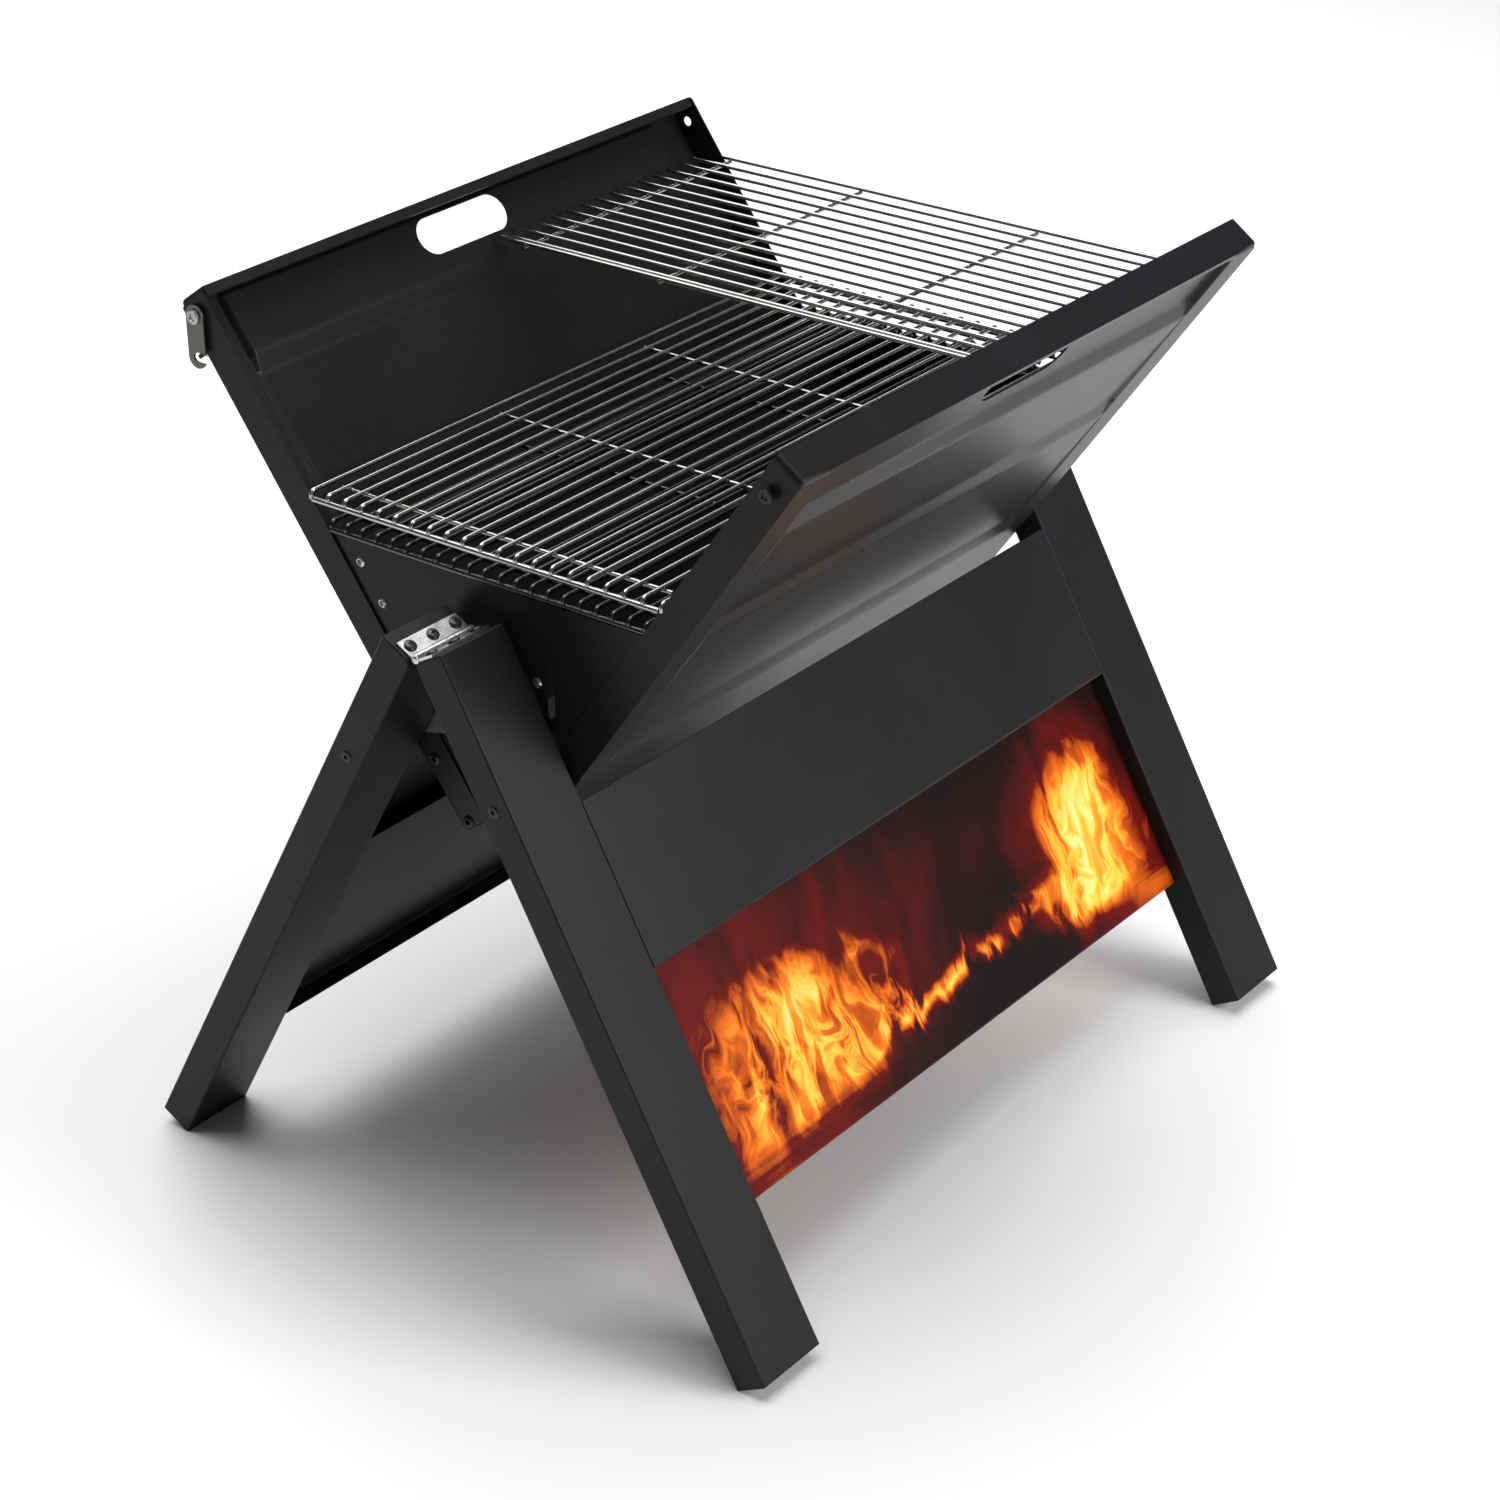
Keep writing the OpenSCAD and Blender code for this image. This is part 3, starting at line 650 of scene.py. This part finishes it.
def printed_fire(colours):
    """A printed fire under satin lacquer: dark ground, tongues at both ends and a low streak."""
    low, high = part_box("front_panel")
    ink = Finish("printed fire", Specular_IOR_Level=0.1)
    place = ink.place()
    across, _, up = ink.axes(ink.mapped(
        place,
        location=(-low.x / (high.x - low.x), 0, -low.z / (high.z - low.z)),
        scale=(1 / (high.x - low.x), 1, 1 / (high.z - low.z))))
    # Swirl the coordinates, so that the tongues curl
    swirl = ink.noise(ink.mapped(place, scale=(1, 0, 0.7)), 11, 3, 0.55, output=1)
    strength = ink.node(
        "ShaderNodeVectorMath", {"operation": "MULTIPLY"}, {0: swirl, 1: (0.11, 0.0, 0.09)})
    bent = ink.node("ShaderNodeVectorMath", {"operation": "ADD"}, {0: place, 1: strength})
    stretched = ink.mapped(bent, scale=(1, 0, 0.45))
    wide = ink.noise(stretched, 17, 4, 0.55, 0.4)
    thin = ink.noise(stretched, 42, 5, 0.6, 0.8)
    tongue = (1 - abs(wide * 2 - 1) * 4.5).capped()
    lick = (1 - abs(thin * 2 - 1) * 5.5).capped()
    body = ink.smooth(wide, 0.44, 0.68)
    warp = (wide - 0.5) * 0.6
    side, height = across + warp * 0.3, up + warp
    left = oval(side, height, (0.2, 0.4), (0.24, 0.38))
    right = oval(side, height, (0.88, 0.46), (0.13, 0.38))
    knee = oval(side, height, (0.78, 0.24), (0.16, 0.16))
    band = (1 - abs(height - 0.27) * 15.0).capped()
    streak = band * ink.smooth(across, 0.2, 0.34) * ink.smooth(0.9 - across, 0.0, 0.2)
    grounded = ink.smooth(up, 0.07, 0.2)
    fire = ((left * 1.2 + right * 1.15 + knee * 0.7 + streak * 1.1) * grounded).capped()
    glow = (tongue * 0.34 + lick * 0.3 + body * 0.12 + 0.12) * fire
    smoke = ink.noise(stretched, 9, 5, 0.6)
    around = (oval(side, height, (0.08, 0.6), (0.6, 0.8))
              + oval(side, height, (0.95, 0.55), (0.4, 0.7))).capped()
    haze = (ink.smooth(smoke, 0.34, 0.66) * 0.3 + 0.1) * around
    stroke = ink.noise(ink.mapped(place, scale=(3, 1, 90)), 1.0, 4)
    ends = ink.smooth(0.4 - across, 0.0, 0.3) + ink.smooth(across, 0.86, 0.97)
    floor = ink.smooth(0.3 - up, 0.0, 0.25) * ink.smooth(stroke, 0.3, 0.65) * ends * 0.32
    heat = (glow + haze + floor).capped()
    coloured = ink.node("ShaderNodeValToRGB", {"stops": [
        (0.0, (0.006, 0.003, 0.004, 1)),
        (0.1, (0.02, 0.003, 0.002, 1)),
        (0.3, shade(colours.ember, 1)),
        (0.52, shade(colours.flame, 1)),
        (0.78, shade(colours.blaze, 1)),
        (1.0, (1.0, 0.84, 0.3, 1)),
    ]}, {0: heat})
    ink.surface("Base Color", coloured)
    sheen = ink.noise(place, 620, 2)
    ink.surface("Roughness", sheen * 0.12 + 0.36)
    ink.bump(sheen, 0.12, 0.00015)
    return ink.material


def studio_floor(colour):
    """Matt pale floor."""
    matt = Finish("studio floor", Specular_IOR_Level=0.2, Roughness=0.85)
    cloud = matt.noise(matt.place(), 1.5, 2)
    matt.surface("Base Color", matt.mix(cloud, shade(colour, 0.985), shade(colour, 1.0)))
    return matt.material


def finish_named(name):
    """A finish of the grill, made when it is first asked for."""
    colours = bpy.context.scene.grill_colours
    makers = {
        "leg coat": lambda: powder_coat("leg coat", colours.leg, 0.42, 0.34),
        "sheet coat": lambda: powder_coat("sheet coat", colours.sheet, 0.40, 0.2),
        "pan coat": lambda: powder_coat("pan coat", colours.pan, 0.36, 0.42),
        "tray enamel": lambda: powder_coat("tray enamel", colours.pan, 0.5, 0.2),
        "bright wire": lambda: bright_wire("bright wire", colours.wire),
        "dark wire": lambda: bright_wire("dark wire", [part * 0.22 for part in colours.wire]),
        "blackened steel": lambda: brushed_zinc("blackened steel", (0.05, 0.05, 0.052), 0.4),
        "stay zinc": lambda: brushed_zinc("stay zinc", (0.2, 0.2, 0.205), 0.42),
        "hinge zinc": lambda: brushed_zinc("hinge zinc", colours.zinc, 0.28),
        "dull zinc": lambda: brushed_zinc("dull zinc", [part * 0.72 for part in colours.zinc], 0.38),
        "latch zinc": lambda: brushed_zinc("latch zinc", (0.17, 0.165, 0.15), 0.42),
        "black oxide": black_oxide,
        "moulded cap": moulded_cap,
        "printed fire": lambda: printed_fire(colours),
        "studio floor": lambda: studio_floor(colours.floor),
    }
    return bpy.data.materials.get(name) or makers[name]()


# ---- Pans --------------------------------------------------------------------
def pressed_line(top):
    """The pressed steps as points of height up the slope and depth inwards, from the top down."""
    line = [(top, 0.0), (top - RIM_BAND, 0.0), (top - RIM_BAND - RIM_DROP, STEPS[0][2])]
    for upper, drop, depth in STEPS:
        line += [(upper, depth), (upper - drop, 0.0)]
    return line


def depth_at(line, height, reach):
    """Depth of the pressed sheet at a height, with its bends softened over a reach."""
    def sharp(at):
        for (upper, first), (lower, second) in zip(line, line[1:]):
            if lower <= at <= upper:
                return first + (second - first) * (upper - at) / (upper - lower)
        return 0.0

    samples = 9
    spread = [reach * (2 * k / (samples - 1) - 1) for k in range(samples)]
    return sum(sharp(height + step) for step in spread) / samples


def pan_shape(sizes, cutters):
    """A pressed pan in its own coordinates: X, outwards, up the slope."""
    low, high = local_box("rear_pan", REAR_PAN)
    reach = sizes.bead_round / MM
    run_out = sizes.bead_end / MM
    bead = high.x - BEAD_MARGIN
    bm = bmesh.new()
    bmesh.ops.create_grid(bm, x_segments=1, y_segments=1, size=0.5)
    middle = Matrix.Translation((0, high.y, (low.z + high.z) / 2))
    upright = middle @ Matrix.Rotation(math.radians(90), 4, "X")
    size = Matrix.Diagonal((high.x - low.x, high.z - low.z, 1, 1))
    bmesh.ops.transform(bm, matrix=upright @ size, verts=bm.verts)
    # lines across at the bends, and along where the steps run out
    line = pressed_line(high.z)
    heights = [at + reach * k * 0.4 for at, _ in line[3:] for k in (-3, -2, -1, 0, 1, 2, 3)]
    heights += [at + k * 0.5 for at, _ in line[1:3] for k in (-1, 0, 1)]
    stations = [side * (bead + run_out * k / 6) for side in (-1, 1) for k in range(-1, 6)]
    for normal, marks in (((0, 0, 1), heights), ((1, 0, 0), stations)):
        for mark in marks:
            bmesh.ops.bisect_plane(
                bm, geom=[*bm.verts, *bm.edges, *bm.faces], dist=0.001,
                plane_co=[part * mark for part in normal], plane_no=normal)
    for vertex in bm.verts:
        share = min(1.0, max(0.0, (bead + run_out * 0.8 - abs(vertex.co.x)) / run_out))
        share = share * share * (3 - 2 * share)
        soft = reach
        if vertex.co.z > STEPS[0][0] + RIM_START:
            soft = max(RIM_ROUND, min(reach, 0.25 * (high.z - vertex.co.z)))
        vertex.co.y = high.y - depth_at(line, vertex.co.z, soft) * share
    # walls around, with round bends
    rim = [edge for edge in bm.edges if edge.is_boundary]
    _, ends = pulled(bm, rim)
    for vertex in ends:
        vertex.co.y = low.y
    fold = [edge for edge in bm.edges if not edge.is_boundary and edge not in rim
            and all(abs(end.co.x) > high.x - 0.1 and min(end.co.z - low.z, high.z - end.co.z) < 0.1
                    for end in edge.verts)]
    bevelled(bm, rim + fold, sizes.pan_bend / MM, 4)
    # lip folded down along the top
    lip = [edge for edge in bm.edges if edge.is_boundary
           and all(end.co.z > high.z - 0.05 for end in edge.verts)]
    _, ends = pulled(bm, lip)
    bmesh.ops.translate(bm, vec=(0, 0, -HEM), verts=ends)
    bmesh.ops.recalc_face_normals(bm, faces=bm.faces)
    middle = max(bm.faces, key=lambda face: face.calc_area())
    if middle.normal.y < 0:
        bmesh.ops.reverse_faces(bm, faces=bm.faces)
    sheet = worked(bm, wall(SHEET))
    return worked(without(sheet, *cutters), soft_edges(sizes.edge / MM, 50))


def slot_cutter(sizes):
    """The hand slot's tool, through the strip below the pan's top."""
    _, high = local_box("rear_pan", REAR_PAN)
    half = Vector((sizes.slot_length, 0.02, sizes.slot_width)) / (2 * MM)
    middle = Vector((0, high.y - STEPS[0][2], high.z - SLOT_DROP))
    bm = box_shape(middle - half, middle + half)
    ends = [edge for edge in bm.edges if abs(edge.verts[0].co.y - edge.verts[1].co.y) > 1]
    bevelled(bm, ends, half.z - 0.05, 14)
    return bm


def spare_hole_cutter():
    """The tool of the round hole in the rear pan's far end, level with the latch."""
    _, high = local_box("rear_pan", REAR_PAN)
    low_pin, high_pin = local_box("latch_screw", REAR_PAN)
    middle = (low_pin + high_pin) / 2
    bm = turned([(high.x - 5, 0), (high.x - 5, 3.5), (high.x + 5, 3.5), (high.x + 5, 0)])
    bmesh.ops.translate(bm, vec=(0, middle.y, middle.z), verts=bm.verts)
    return bm


# ---- Fasteners ---------------------------------------------------------------
def bolt(inner, outer, radius):
    """A pivot bolt with a low domed head and a drive recess."""
    shaft, face = radius - 1.2, outer - 0.9
    return turned([
        (inner, 0), (inner, shaft - 0.5), (inner + 0.5, shaft), (face, shaft), (face, radius),
        (face + 0.25, radius), (face + 0.6, radius - 0.35), (outer, radius - 1.1),
        (outer, 1.5), (outer - 1.2, 1.3), (outer - 1.2, 0)])


def rivet(inner, outer, radius):
    """A blind rivet: round flange with a hollow centre, and a flat tail inside."""
    flange = 1.4
    return turned([
        (inner, 0), (inner, radius * 0.6), (inner + 0.4, radius * 0.8), (inner + 1.2, radius * 0.8),
        (inner + 1.2, radius * 0.5), (outer - flange, radius * 0.6), (outer - flange, radius),
        (outer - flange * 0.65, radius), (outer - 0.2, radius * 0.74), (outer, radius * 0.64),
        (outer - 0.1, radius * 0.52), (outer - flange, radius * 0.46), (outer - 2.4, radius * 0.4),
        (outer - 2.4, 0)])


def nut(inner, outer, radius):
    """A hexagon nut with chamfered corners."""
    bm = bmesh.new()
    along = Matrix.Translation(((inner + outer) / 2, 0, 0)) @ Matrix.Rotation(math.radians(90), 4, "Y")
    bmesh.ops.create_cone(
        bm, cap_ends=True, segments=6, radius1=radius, radius2=radius, depth=outer - inner, matrix=along)
    bevelled(bm, list(bm.edges), 0.35, 2)
    return bm


def spacer(inner, outer, radius):
    """A plain spacer tube with broken rims."""
    bore = radius - 2.4
    return turned([
        (inner, bore), (inner, radius - 0.3), (inner + 0.3, radius), (outer - 0.3, radius),
        (outer, radius - 0.3), (outer, bore), (inner, bore)])


def shouldered_stud(inner, outer, radius):
    """A stud with a head against the stay and a collar inside the leg."""
    shaft = radius - 2
    head = inner + 1.6
    return turned([
        (inner, 0), (inner, radius - 0.6), (inner + 0.5, radius), (head, radius), (head, shaft),
        (outer - 3, shaft), (outer - 3, radius - 0.3), (outer - 2.7, radius), (outer - 0.3, radius),
        (outer, radius - 0.3), (outer, 0)])


def dished_screw(inner, outer, radius):
    """A latch screw: dished round head outside, collar at the wall, nut inside."""
    shaft = radius - 2.3
    return turned([
        (inner, 0), (inner, shaft - 0.3), (inner + 0.4, shaft), (inner + 1.2, shaft),
        (inner + 1.2, shaft + 1.4), (inner + 1.5, shaft + 1.8), (inner + 2.9, shaft + 1.8),
        (inner + 2.9, shaft), (outer - 1.8, shaft), (outer - 1.8, radius), (outer - 0.5, radius),
        (outer, radius - 0.5), (outer, shaft + 0.1), (outer - 0.25, shaft - 0.2),
        (outer - 1.0, shaft - 0.5), (outer - 1.0, 0)])


def plain_pin(inner, outer, radius):
    """A hinge pin with rounded ends."""
    return turned([
        (inner, 0), (inner, radius * 0.5), (inner + 0.5, radius), (outer - 0.5, radius),
        (outer, radius * 0.5), (outer, 0)])


def cross_head_screw():
    """A pan head screw that stands on its origin, with a cross recess and its shank below."""
    head = turned([
        (-7.5, 0), (-7.5, 1.4), (-6.8, 1.9), (0, 1.9), (0, 3.9), (0.35, 4.2), (1.0, 4.15),
        (1.6, 3.6), (1.95, 2.7), (2.1, 1.5), (2.1, 0)], 28)
    bmesh.ops.rotate(
        head, cent=(0, 0, 0), matrix=Matrix.Rotation(math.radians(-90), 3, "Y"), verts=head.verts)
    arms = []
    for turn in (0, 90):
        arm = box_shape((-2.3, -0.5, 0.75), (2.3, 0.5, 3.0))
        for vertex in arm.verts:
            if vertex.co.z < 1:
                vertex.co.x *= 0.6
        bmesh.ops.rotate(
            arm, cent=(0, 0, 0), matrix=Matrix.Rotation(math.radians(turn), 3, "Z"), verts=arm.verts)
        arms.append(arm)
    return worked(without(head, *arms), soft_edges(0.06, 50))


def screws_at(node, place):
    """Cross head screws at every screw of a node."""
    screw = cross_head_screw()
    whole = bmesh.new()
    for index, (low, high) in enumerate(seats(node, place)):
        middle = (low + high) / 2
        turn = Matrix.Rotation(math.radians(17 + 41 * index), 4, "Z")
        add(whole, screw, Matrix.Translation((middle.x, middle.y, high.z - 2.1)) @ turn)
    screw.free()
    return whole


# ---- Legs --------------------------------------------------------------------
def leg_shape(sizes):
    """A leg tube of the right end, relieved at the hinge and open at the foot."""
    low, high = local_box("rear_leg_right", REAR_LEG)
    bm = box_shape(low, high)
    relief = [edge for edge in bm.edges
              if all(end.co.z > high.z - 0.1 and end.co.y < low.y + 0.1 for end in edge.verts)]
    bevelled(bm, relief, 3.2, 1)
    foot = [face for face in bm.faces if face.normal.z < -0.9]
    bmesh.ops.delete(bm, geom=foot, context="FACES")
    bevelled(bm, [edge for edge in bm.edges if not edge.is_boundary], sizes.leg_corner / MM, 4)
    return worked(bm, wall(LEG_WALL), soft_edges(0.25, 60))


# ---- Grates ------------------------------------------------------------------
def long_grate(node, sizes):
    """Rods along X whose ends turn down on two end bars, over a row of cross wires."""
    low, high = local_box(node, UPRIGHT)
    columns = points_of(node, UPRIGHT)
    rod, bar, rise, sink = 1.5, 2.0, 5.0, 0.4
    inset, spacing = 6, 150
    sides = sizes.wire_sides
    end = high.x - bar
    z = low.z + bar
    rod_z = z + rise
    inside = [point.y for point in columns if point.z > rod_z + rod - 0.05]
    reach = max(inside)
    pitch = grate_pitch(inside)
    bm = bmesh.new()
    run = wire(
        [(-end, 0, z), (-end, 0, rod_z), (end, 0, rod_z), (end, 0, z)],
        rod, sizes.wire_bend / MM, sides)
    count = round(2 * reach / pitch) + 1
    for k in range(count):
        add(bm, run, Matrix.Translation((0, (k - (count - 1) / 2) * pitch, 0)))
    run.free()
    rail = wire([(0, low.y, z), (0, high.y, z)], bar, 0, sides + 4)
    for side in (-1, 1):
        add(bm, rail, Matrix.Translation((side * end, 0, 0)))
    rail.free()
    level = rod_z - 2 * rod + sink
    cross = wire([(0, low.y + inset, level), (0, high.y - inset, level)], rod, 0, sides)
    for k in (-1.5, -0.5, 0.5, 1.5):
        add(bm, cross, Matrix.Translation((k * spacing, 0, 0)))
    cross.free()
    return bm


def grate_pitch(tops):
    """Spacing of rods from the places of their upper lines."""
    rows = sorted({round(y, 1) for y in tops})
    gaps = [after - before for before, after in zip(rows, rows[1:]) if after - before > 5]
    return min(gaps)


def warming_shape(sizes):
    """Rods along Y, the two nearest the middle close together, on four wires along X."""
    low, high = local_box("warming_grate", UPRIGHT)
    rod, sink, pitch, pair, room = 1.5, 0.4, 15.7, 5.0, 2.5
    sides = sizes.wire_sides
    z = high.z - rod
    last = high.x - rod
    bm = bmesh.new()
    places = []
    x = last - pitch
    while x > low.x + pair + room:
        places.append(x)
        x -= pitch
    places.append(places[-1] - pair)
    run = wire([(0, low.y, z), (0, high.y, z)], rod, 0, sides)
    for x in places:
        add(bm, run, Matrix.Translation((x, 0, 0)))
    run.free()
    at_end = [point.y for point in points_of("warming_grate", UPRIGHT)
              if point.x > last and point.z > z - 0.1]
    add(bm, wire([(last, min(at_end), z), (last, max(at_end), z)], rod, 0, sides))
    for share in (-0.9, -0.35, 0.35, 0.9):
        y = share * high.y
        level = z - 2 * rod + sink
        add(bm, wire([(low.x, y, level), (last, y, level)], rod, 0, sides))
    return bm


# ---- Operators ---------------------------------------------------------------
class GRILL_OT_pans(bpy.types.Operator):
    """Press the two pans with their steps, lips and hand slots"""

    bl_idname = "grill.make_pans"
    bl_label = "Pans"

    def execute(self, context):
        sizes = context.scene.grill_sizes
        coat = finish_named("pan coat")
        rear = pan_shape(sizes, [slot_cutter(sizes), spare_hole_cutter()])
        make_piece("rear_pan", rear, REAR_PAN, coat, 40)
        front = pan_shape(sizes, [slot_cutter(sizes)])
        make_piece("front_pan", front, FRONT_PAN, coat, 40)
        return {"FINISHED"}


class GRILL_OT_legs(bpy.types.Operator):
    """Make the four leg tubes and finish their foot caps"""

    bl_idname = "grill.make_legs"
    bl_label = "Legs"

    def execute(self, context):
        sizes = context.scene.grill_sizes
        coat = finish_named("leg coat")
        for side, place in LEG_SIDES:
            make_piece(f"{side}_leg_right", leg_shape(sizes), place, coat)
            make_piece(f"{side}_leg_left", leg_shape(sizes), place @ OTHER_END, coat)
            paint(f"{side}_foot_caps", finish_named("moulded cap"))
        return {"FINISHED"}


class GRILL_OT_panels(bpy.types.Operator):
    """Fold the aprons and the lower panels, and print the fire on the front one"""

    bl_idname = "grill.make_panels"
    bl_label = "Aprons and panels"

    def execute(self, context):
        sizes = context.scene.grill_sizes
        coat, fire = finish_named("sheet coat"), finish_named("printed fire")
        bend = sizes.sheet_bend / MM
        half = SHEET / 2
        for side, place in LEG_SIDES:
            lower = fire if side == "front" else coat
            for node, finish in ((f"{side}_apron", coat), (f"{side}_panel", lower)):
                low, high = local_box(node, place)
                face, foot = high.y - half, low.z + half
                line = [(face, high.z), (face, foot), (low.y, foot)]
                bm = folded_sheet(line, high.x - low.x, SHEET, bend)
                make_piece(node, worked(bm, soft_edges(sizes.edge / MM, 50)), place, finish)
        return {"FINISHED"}


class GRILL_OT_leg_hinges(bpy.types.Operator):
    """Make the leg hinges with their pins and cross head screws"""

    bl_idname = "grill.make_leg_hinges"
    bl_label = "Leg hinges"

    def execute(self, context):
        zinc = finish_named("hinge zinc")
        for side, place in LEG_SIDES:
            softened(f"{side}_hinge_leaves", 0.3, zinc)
            screws = screws_at(f"{side}_hinge_screws", place)
            make_piece(f"{side}_hinge_screws", screws, place, finish_named("black oxide"))
        fasten("hinge_pins", UPRIGHT, plain_pin, zinc)
        return {"FINISHED"}


class GRILL_OT_pivots(bpy.types.Operator):
    """Make the pivot bolts, nuts, spacers, stay studs and the two stays"""

    bl_idname = "grill.make_pivots"
    bl_label = "Pivots and stays"

    def execute(self, context):
        zinc = finish_named("blackened steel")
        for side, place in LEG_SIDES:
            for kind, make in (("pivot_bolts", bolt), ("pivot_nuts", nut), ("spacers", spacer)):
                fasten(f"{side}_{kind}", place, make, zinc)
        fasten("stay_studs", FRONT_LEG, shouldered_stud, zinc)
        for end in ("left", "right"):
            softened(f"stay_{end}", 0.35, finish_named("stay zinc"))
        return {"FINISHED"}


class GRILL_OT_pan_fittings(bpy.types.Operator):
    """Make the pans' rivets, the bottom hinge, the latch and the wing nut"""

    bl_idname = "grill.make_pan_fittings"
    bl_label = "Pan fittings"

    def execute(self, context):
        dull, dark = finish_named("dull zinc"), finish_named("blackened steel")
        for side, place in (("rear", REAR_PAN), ("front", FRONT_PAN)):
            fasten(f"{side}_pan_rivets", place, rivet, dark)
            softened(f"bottom_hinge_{side}", 0.25, finish_named("pan coat"))
        paint("bottom_hinge_pin", dull)
        fasten("latch_screw", REAR_PAN, dished_screw, dull)
        fasten("catch_stud", FRONT_PAN, dished_screw, dark)
        softened("latch_strap", 0.35, finish_named("latch zinc"))
        softened("wing_stud", 0.3, dull)
        softened("wing_nut", 0.55, dark)
        return {"FINISHED"}


class GRILL_OT_fire_box(bpy.types.Operator):
    """Make the charcoal tray with its end plates and rivets"""

    bl_idname = "grill.make_fire_box"
    bl_label = "Fire box"

    def execute(self, context):
        softened("charcoal_tray", 0.3, finish_named("tray enamel"))
        for end in ("left", "right"):
            softened(f"end_plate_{end}", 0.35, finish_named("pan coat"))
        fasten("tray_rivets", UPRIGHT, rivet, finish_named("hinge zinc"))
        return {"FINISHED"}


class GRILL_OT_grates(bpy.types.Operator):
    """Weld the charcoal grate, the cooking grate and the warming grate"""

    bl_idname = "grill.make_grates"
    bl_label = "Grates"

    def execute(self, context):
        sizes = context.scene.grill_sizes
        plate = finish_named("bright wire")
        make_piece("cooking_grate", long_grate("cooking_grate", sizes), UPRIGHT, plate, 50)
        coals = long_grate("charcoal_grate", sizes)
        make_piece("charcoal_grate", coals, UPRIGHT, finish_named("dark wire"), 50)
        make_piece("warming_grate", warming_shape(sizes), UPRIGHT, plate, 50)
        return {"FINISHED"}


class GRILL_OT_stage(bpy.types.Operator):
    """Set up the pale floor, the soft lights and the camera"""

    bl_idname = "grill.make_stage"
    bl_label = "Stage"

    def execute(self, context):
        stage = context.scene.grill_stage
        bm = bmesh.new()
        bmesh.ops.create_grid(bm, x_segments=4, y_segments=4, size=9)
        mesh = bpy.data.meshes.new("floor")
        bm.to_mesh(mesh)
        bm.free()
        mesh.materials.append(finish_named("studio floor"))
        floor = bpy.data.objects.new("floor", mesh)
        context.scene.collection.objects.link(floor)
        self.add_light(context, "key", stage.key, (0.7, -2.6, 1.4), 1.5)
        self.add_light(context, "overhead", stage.top, (0.4, 0.6, 4.5), 4.6)
        self.add_light(context, "back", stage.fill, (1.8, 2.4, 1.6), 2.0)
        world = bpy.data.worlds.new("studio")
        world.use_nodes = True
        background = world.node_tree.nodes["Background"]
        background.inputs["Color"].default_value = (0.95, 0.97, 1.0, 1.0)
        background.inputs["Strength"].default_value = 0.1
        context.scene.world = world
        context.scene.view_settings.view_transform = "Standard"
        self.add_camera(context, stage)
        return {"FINISHED"}

    def add_light(self, context, name, power, place, size):
        """A square soft light that faces the grill."""
        lamp = bpy.data.lights.new(name, "AREA")
        lamp.energy = power
        lamp.size = size
        light = bpy.data.objects.new(name, lamp)
        aim = Vector((0, 0, 0.35)) - Vector(place)
        facing = aim.to_track_quat("-Z", "Y").to_matrix().to_4x4()
        light.matrix_world = Matrix.Translation(place) @ facing
        context.scene.collection.objects.link(light)

    def add_camera(self, context, stage):
        """The camera, placed along its own axes."""
        lens = bpy.data.cameras.new("camera")
        lens.lens = stage.lens
        lens.clip_end = 50
        camera = bpy.data.objects.new("camera", lens)
        facing = (Matrix.Rotation(stage.azimuth, 4, "Z")
                  @ Matrix.Rotation(math.pi / 2 - stage.elevation, 4, "X")
                  @ Matrix.Rotation(stage.roll, 4, "Z"))
        camera.matrix_world = facing @ Matrix.Translation(stage.offset)
        context.scene.collection.objects.link(camera)
        context.scene.camera = camera


class GRILL_PT_sidebar(bpy.types.Panel):
    """Lists the settings and the steps"""

    bl_idname = "GRILL_PT_sidebar"
    bl_label = "Folding camp grill"
    bl_space_type = "VIEW_3D"
    bl_region_type = "UI"
    bl_category = "Grill"

    def draw(self, context):
        scene = context.scene
        for group in (scene.grill_sizes, scene.grill_colours, scene.grill_stage):
            column = self.layout.column()
            for name in group.bl_rna.properties.keys():
                if name not in ("rna_type", "name"):
                    column.prop(group, name)
        for step in STEP_CLASSES:
            self.layout.operator(step.bl_idname)


STEP_CLASSES = (
    GRILL_OT_stage, GRILL_OT_pans, GRILL_OT_legs, GRILL_OT_panels, GRILL_OT_leg_hinges,
    GRILL_OT_pivots, GRILL_OT_pan_fittings, GRILL_OT_fire_box, GRILL_OT_grates,
)
GROUPS = {"grill_sizes": GrillSizes, "grill_colours": GrillColours, "grill_stage": GrillStage}


def register():
    for name, group in GROUPS.items():
        bpy.utils.register_class(group)
        setattr(bpy.types.Scene, name, bpy.props.PointerProperty(type=group))
    for cls in (*STEP_CLASSES, GRILL_PT_sidebar):
        bpy.utils.register_class(cls)


def unregister():
    for cls in (GRILL_PT_sidebar, *reversed(STEP_CLASSES)):
        bpy.utils.unregister_class(cls)
    for name, group in GROUPS.items():
        delattr(bpy.types.Scene, name)
        bpy.utils.unregister_class(group)


def main():
    """Builds the grill step by step."""
    register()
    bpy.ops.grill.make_stage()
    bpy.ops.grill.make_pans()
    bpy.ops.grill.make_legs()
    bpy.ops.grill.make_panels()
    bpy.ops.grill.make_leg_hinges()
    bpy.ops.grill.make_pivots()
    bpy.ops.grill.make_pan_fittings()
    bpy.ops.grill.make_fire_box()
    bpy.ops.grill.make_grates()


if __name__ == "__main__":
    main()
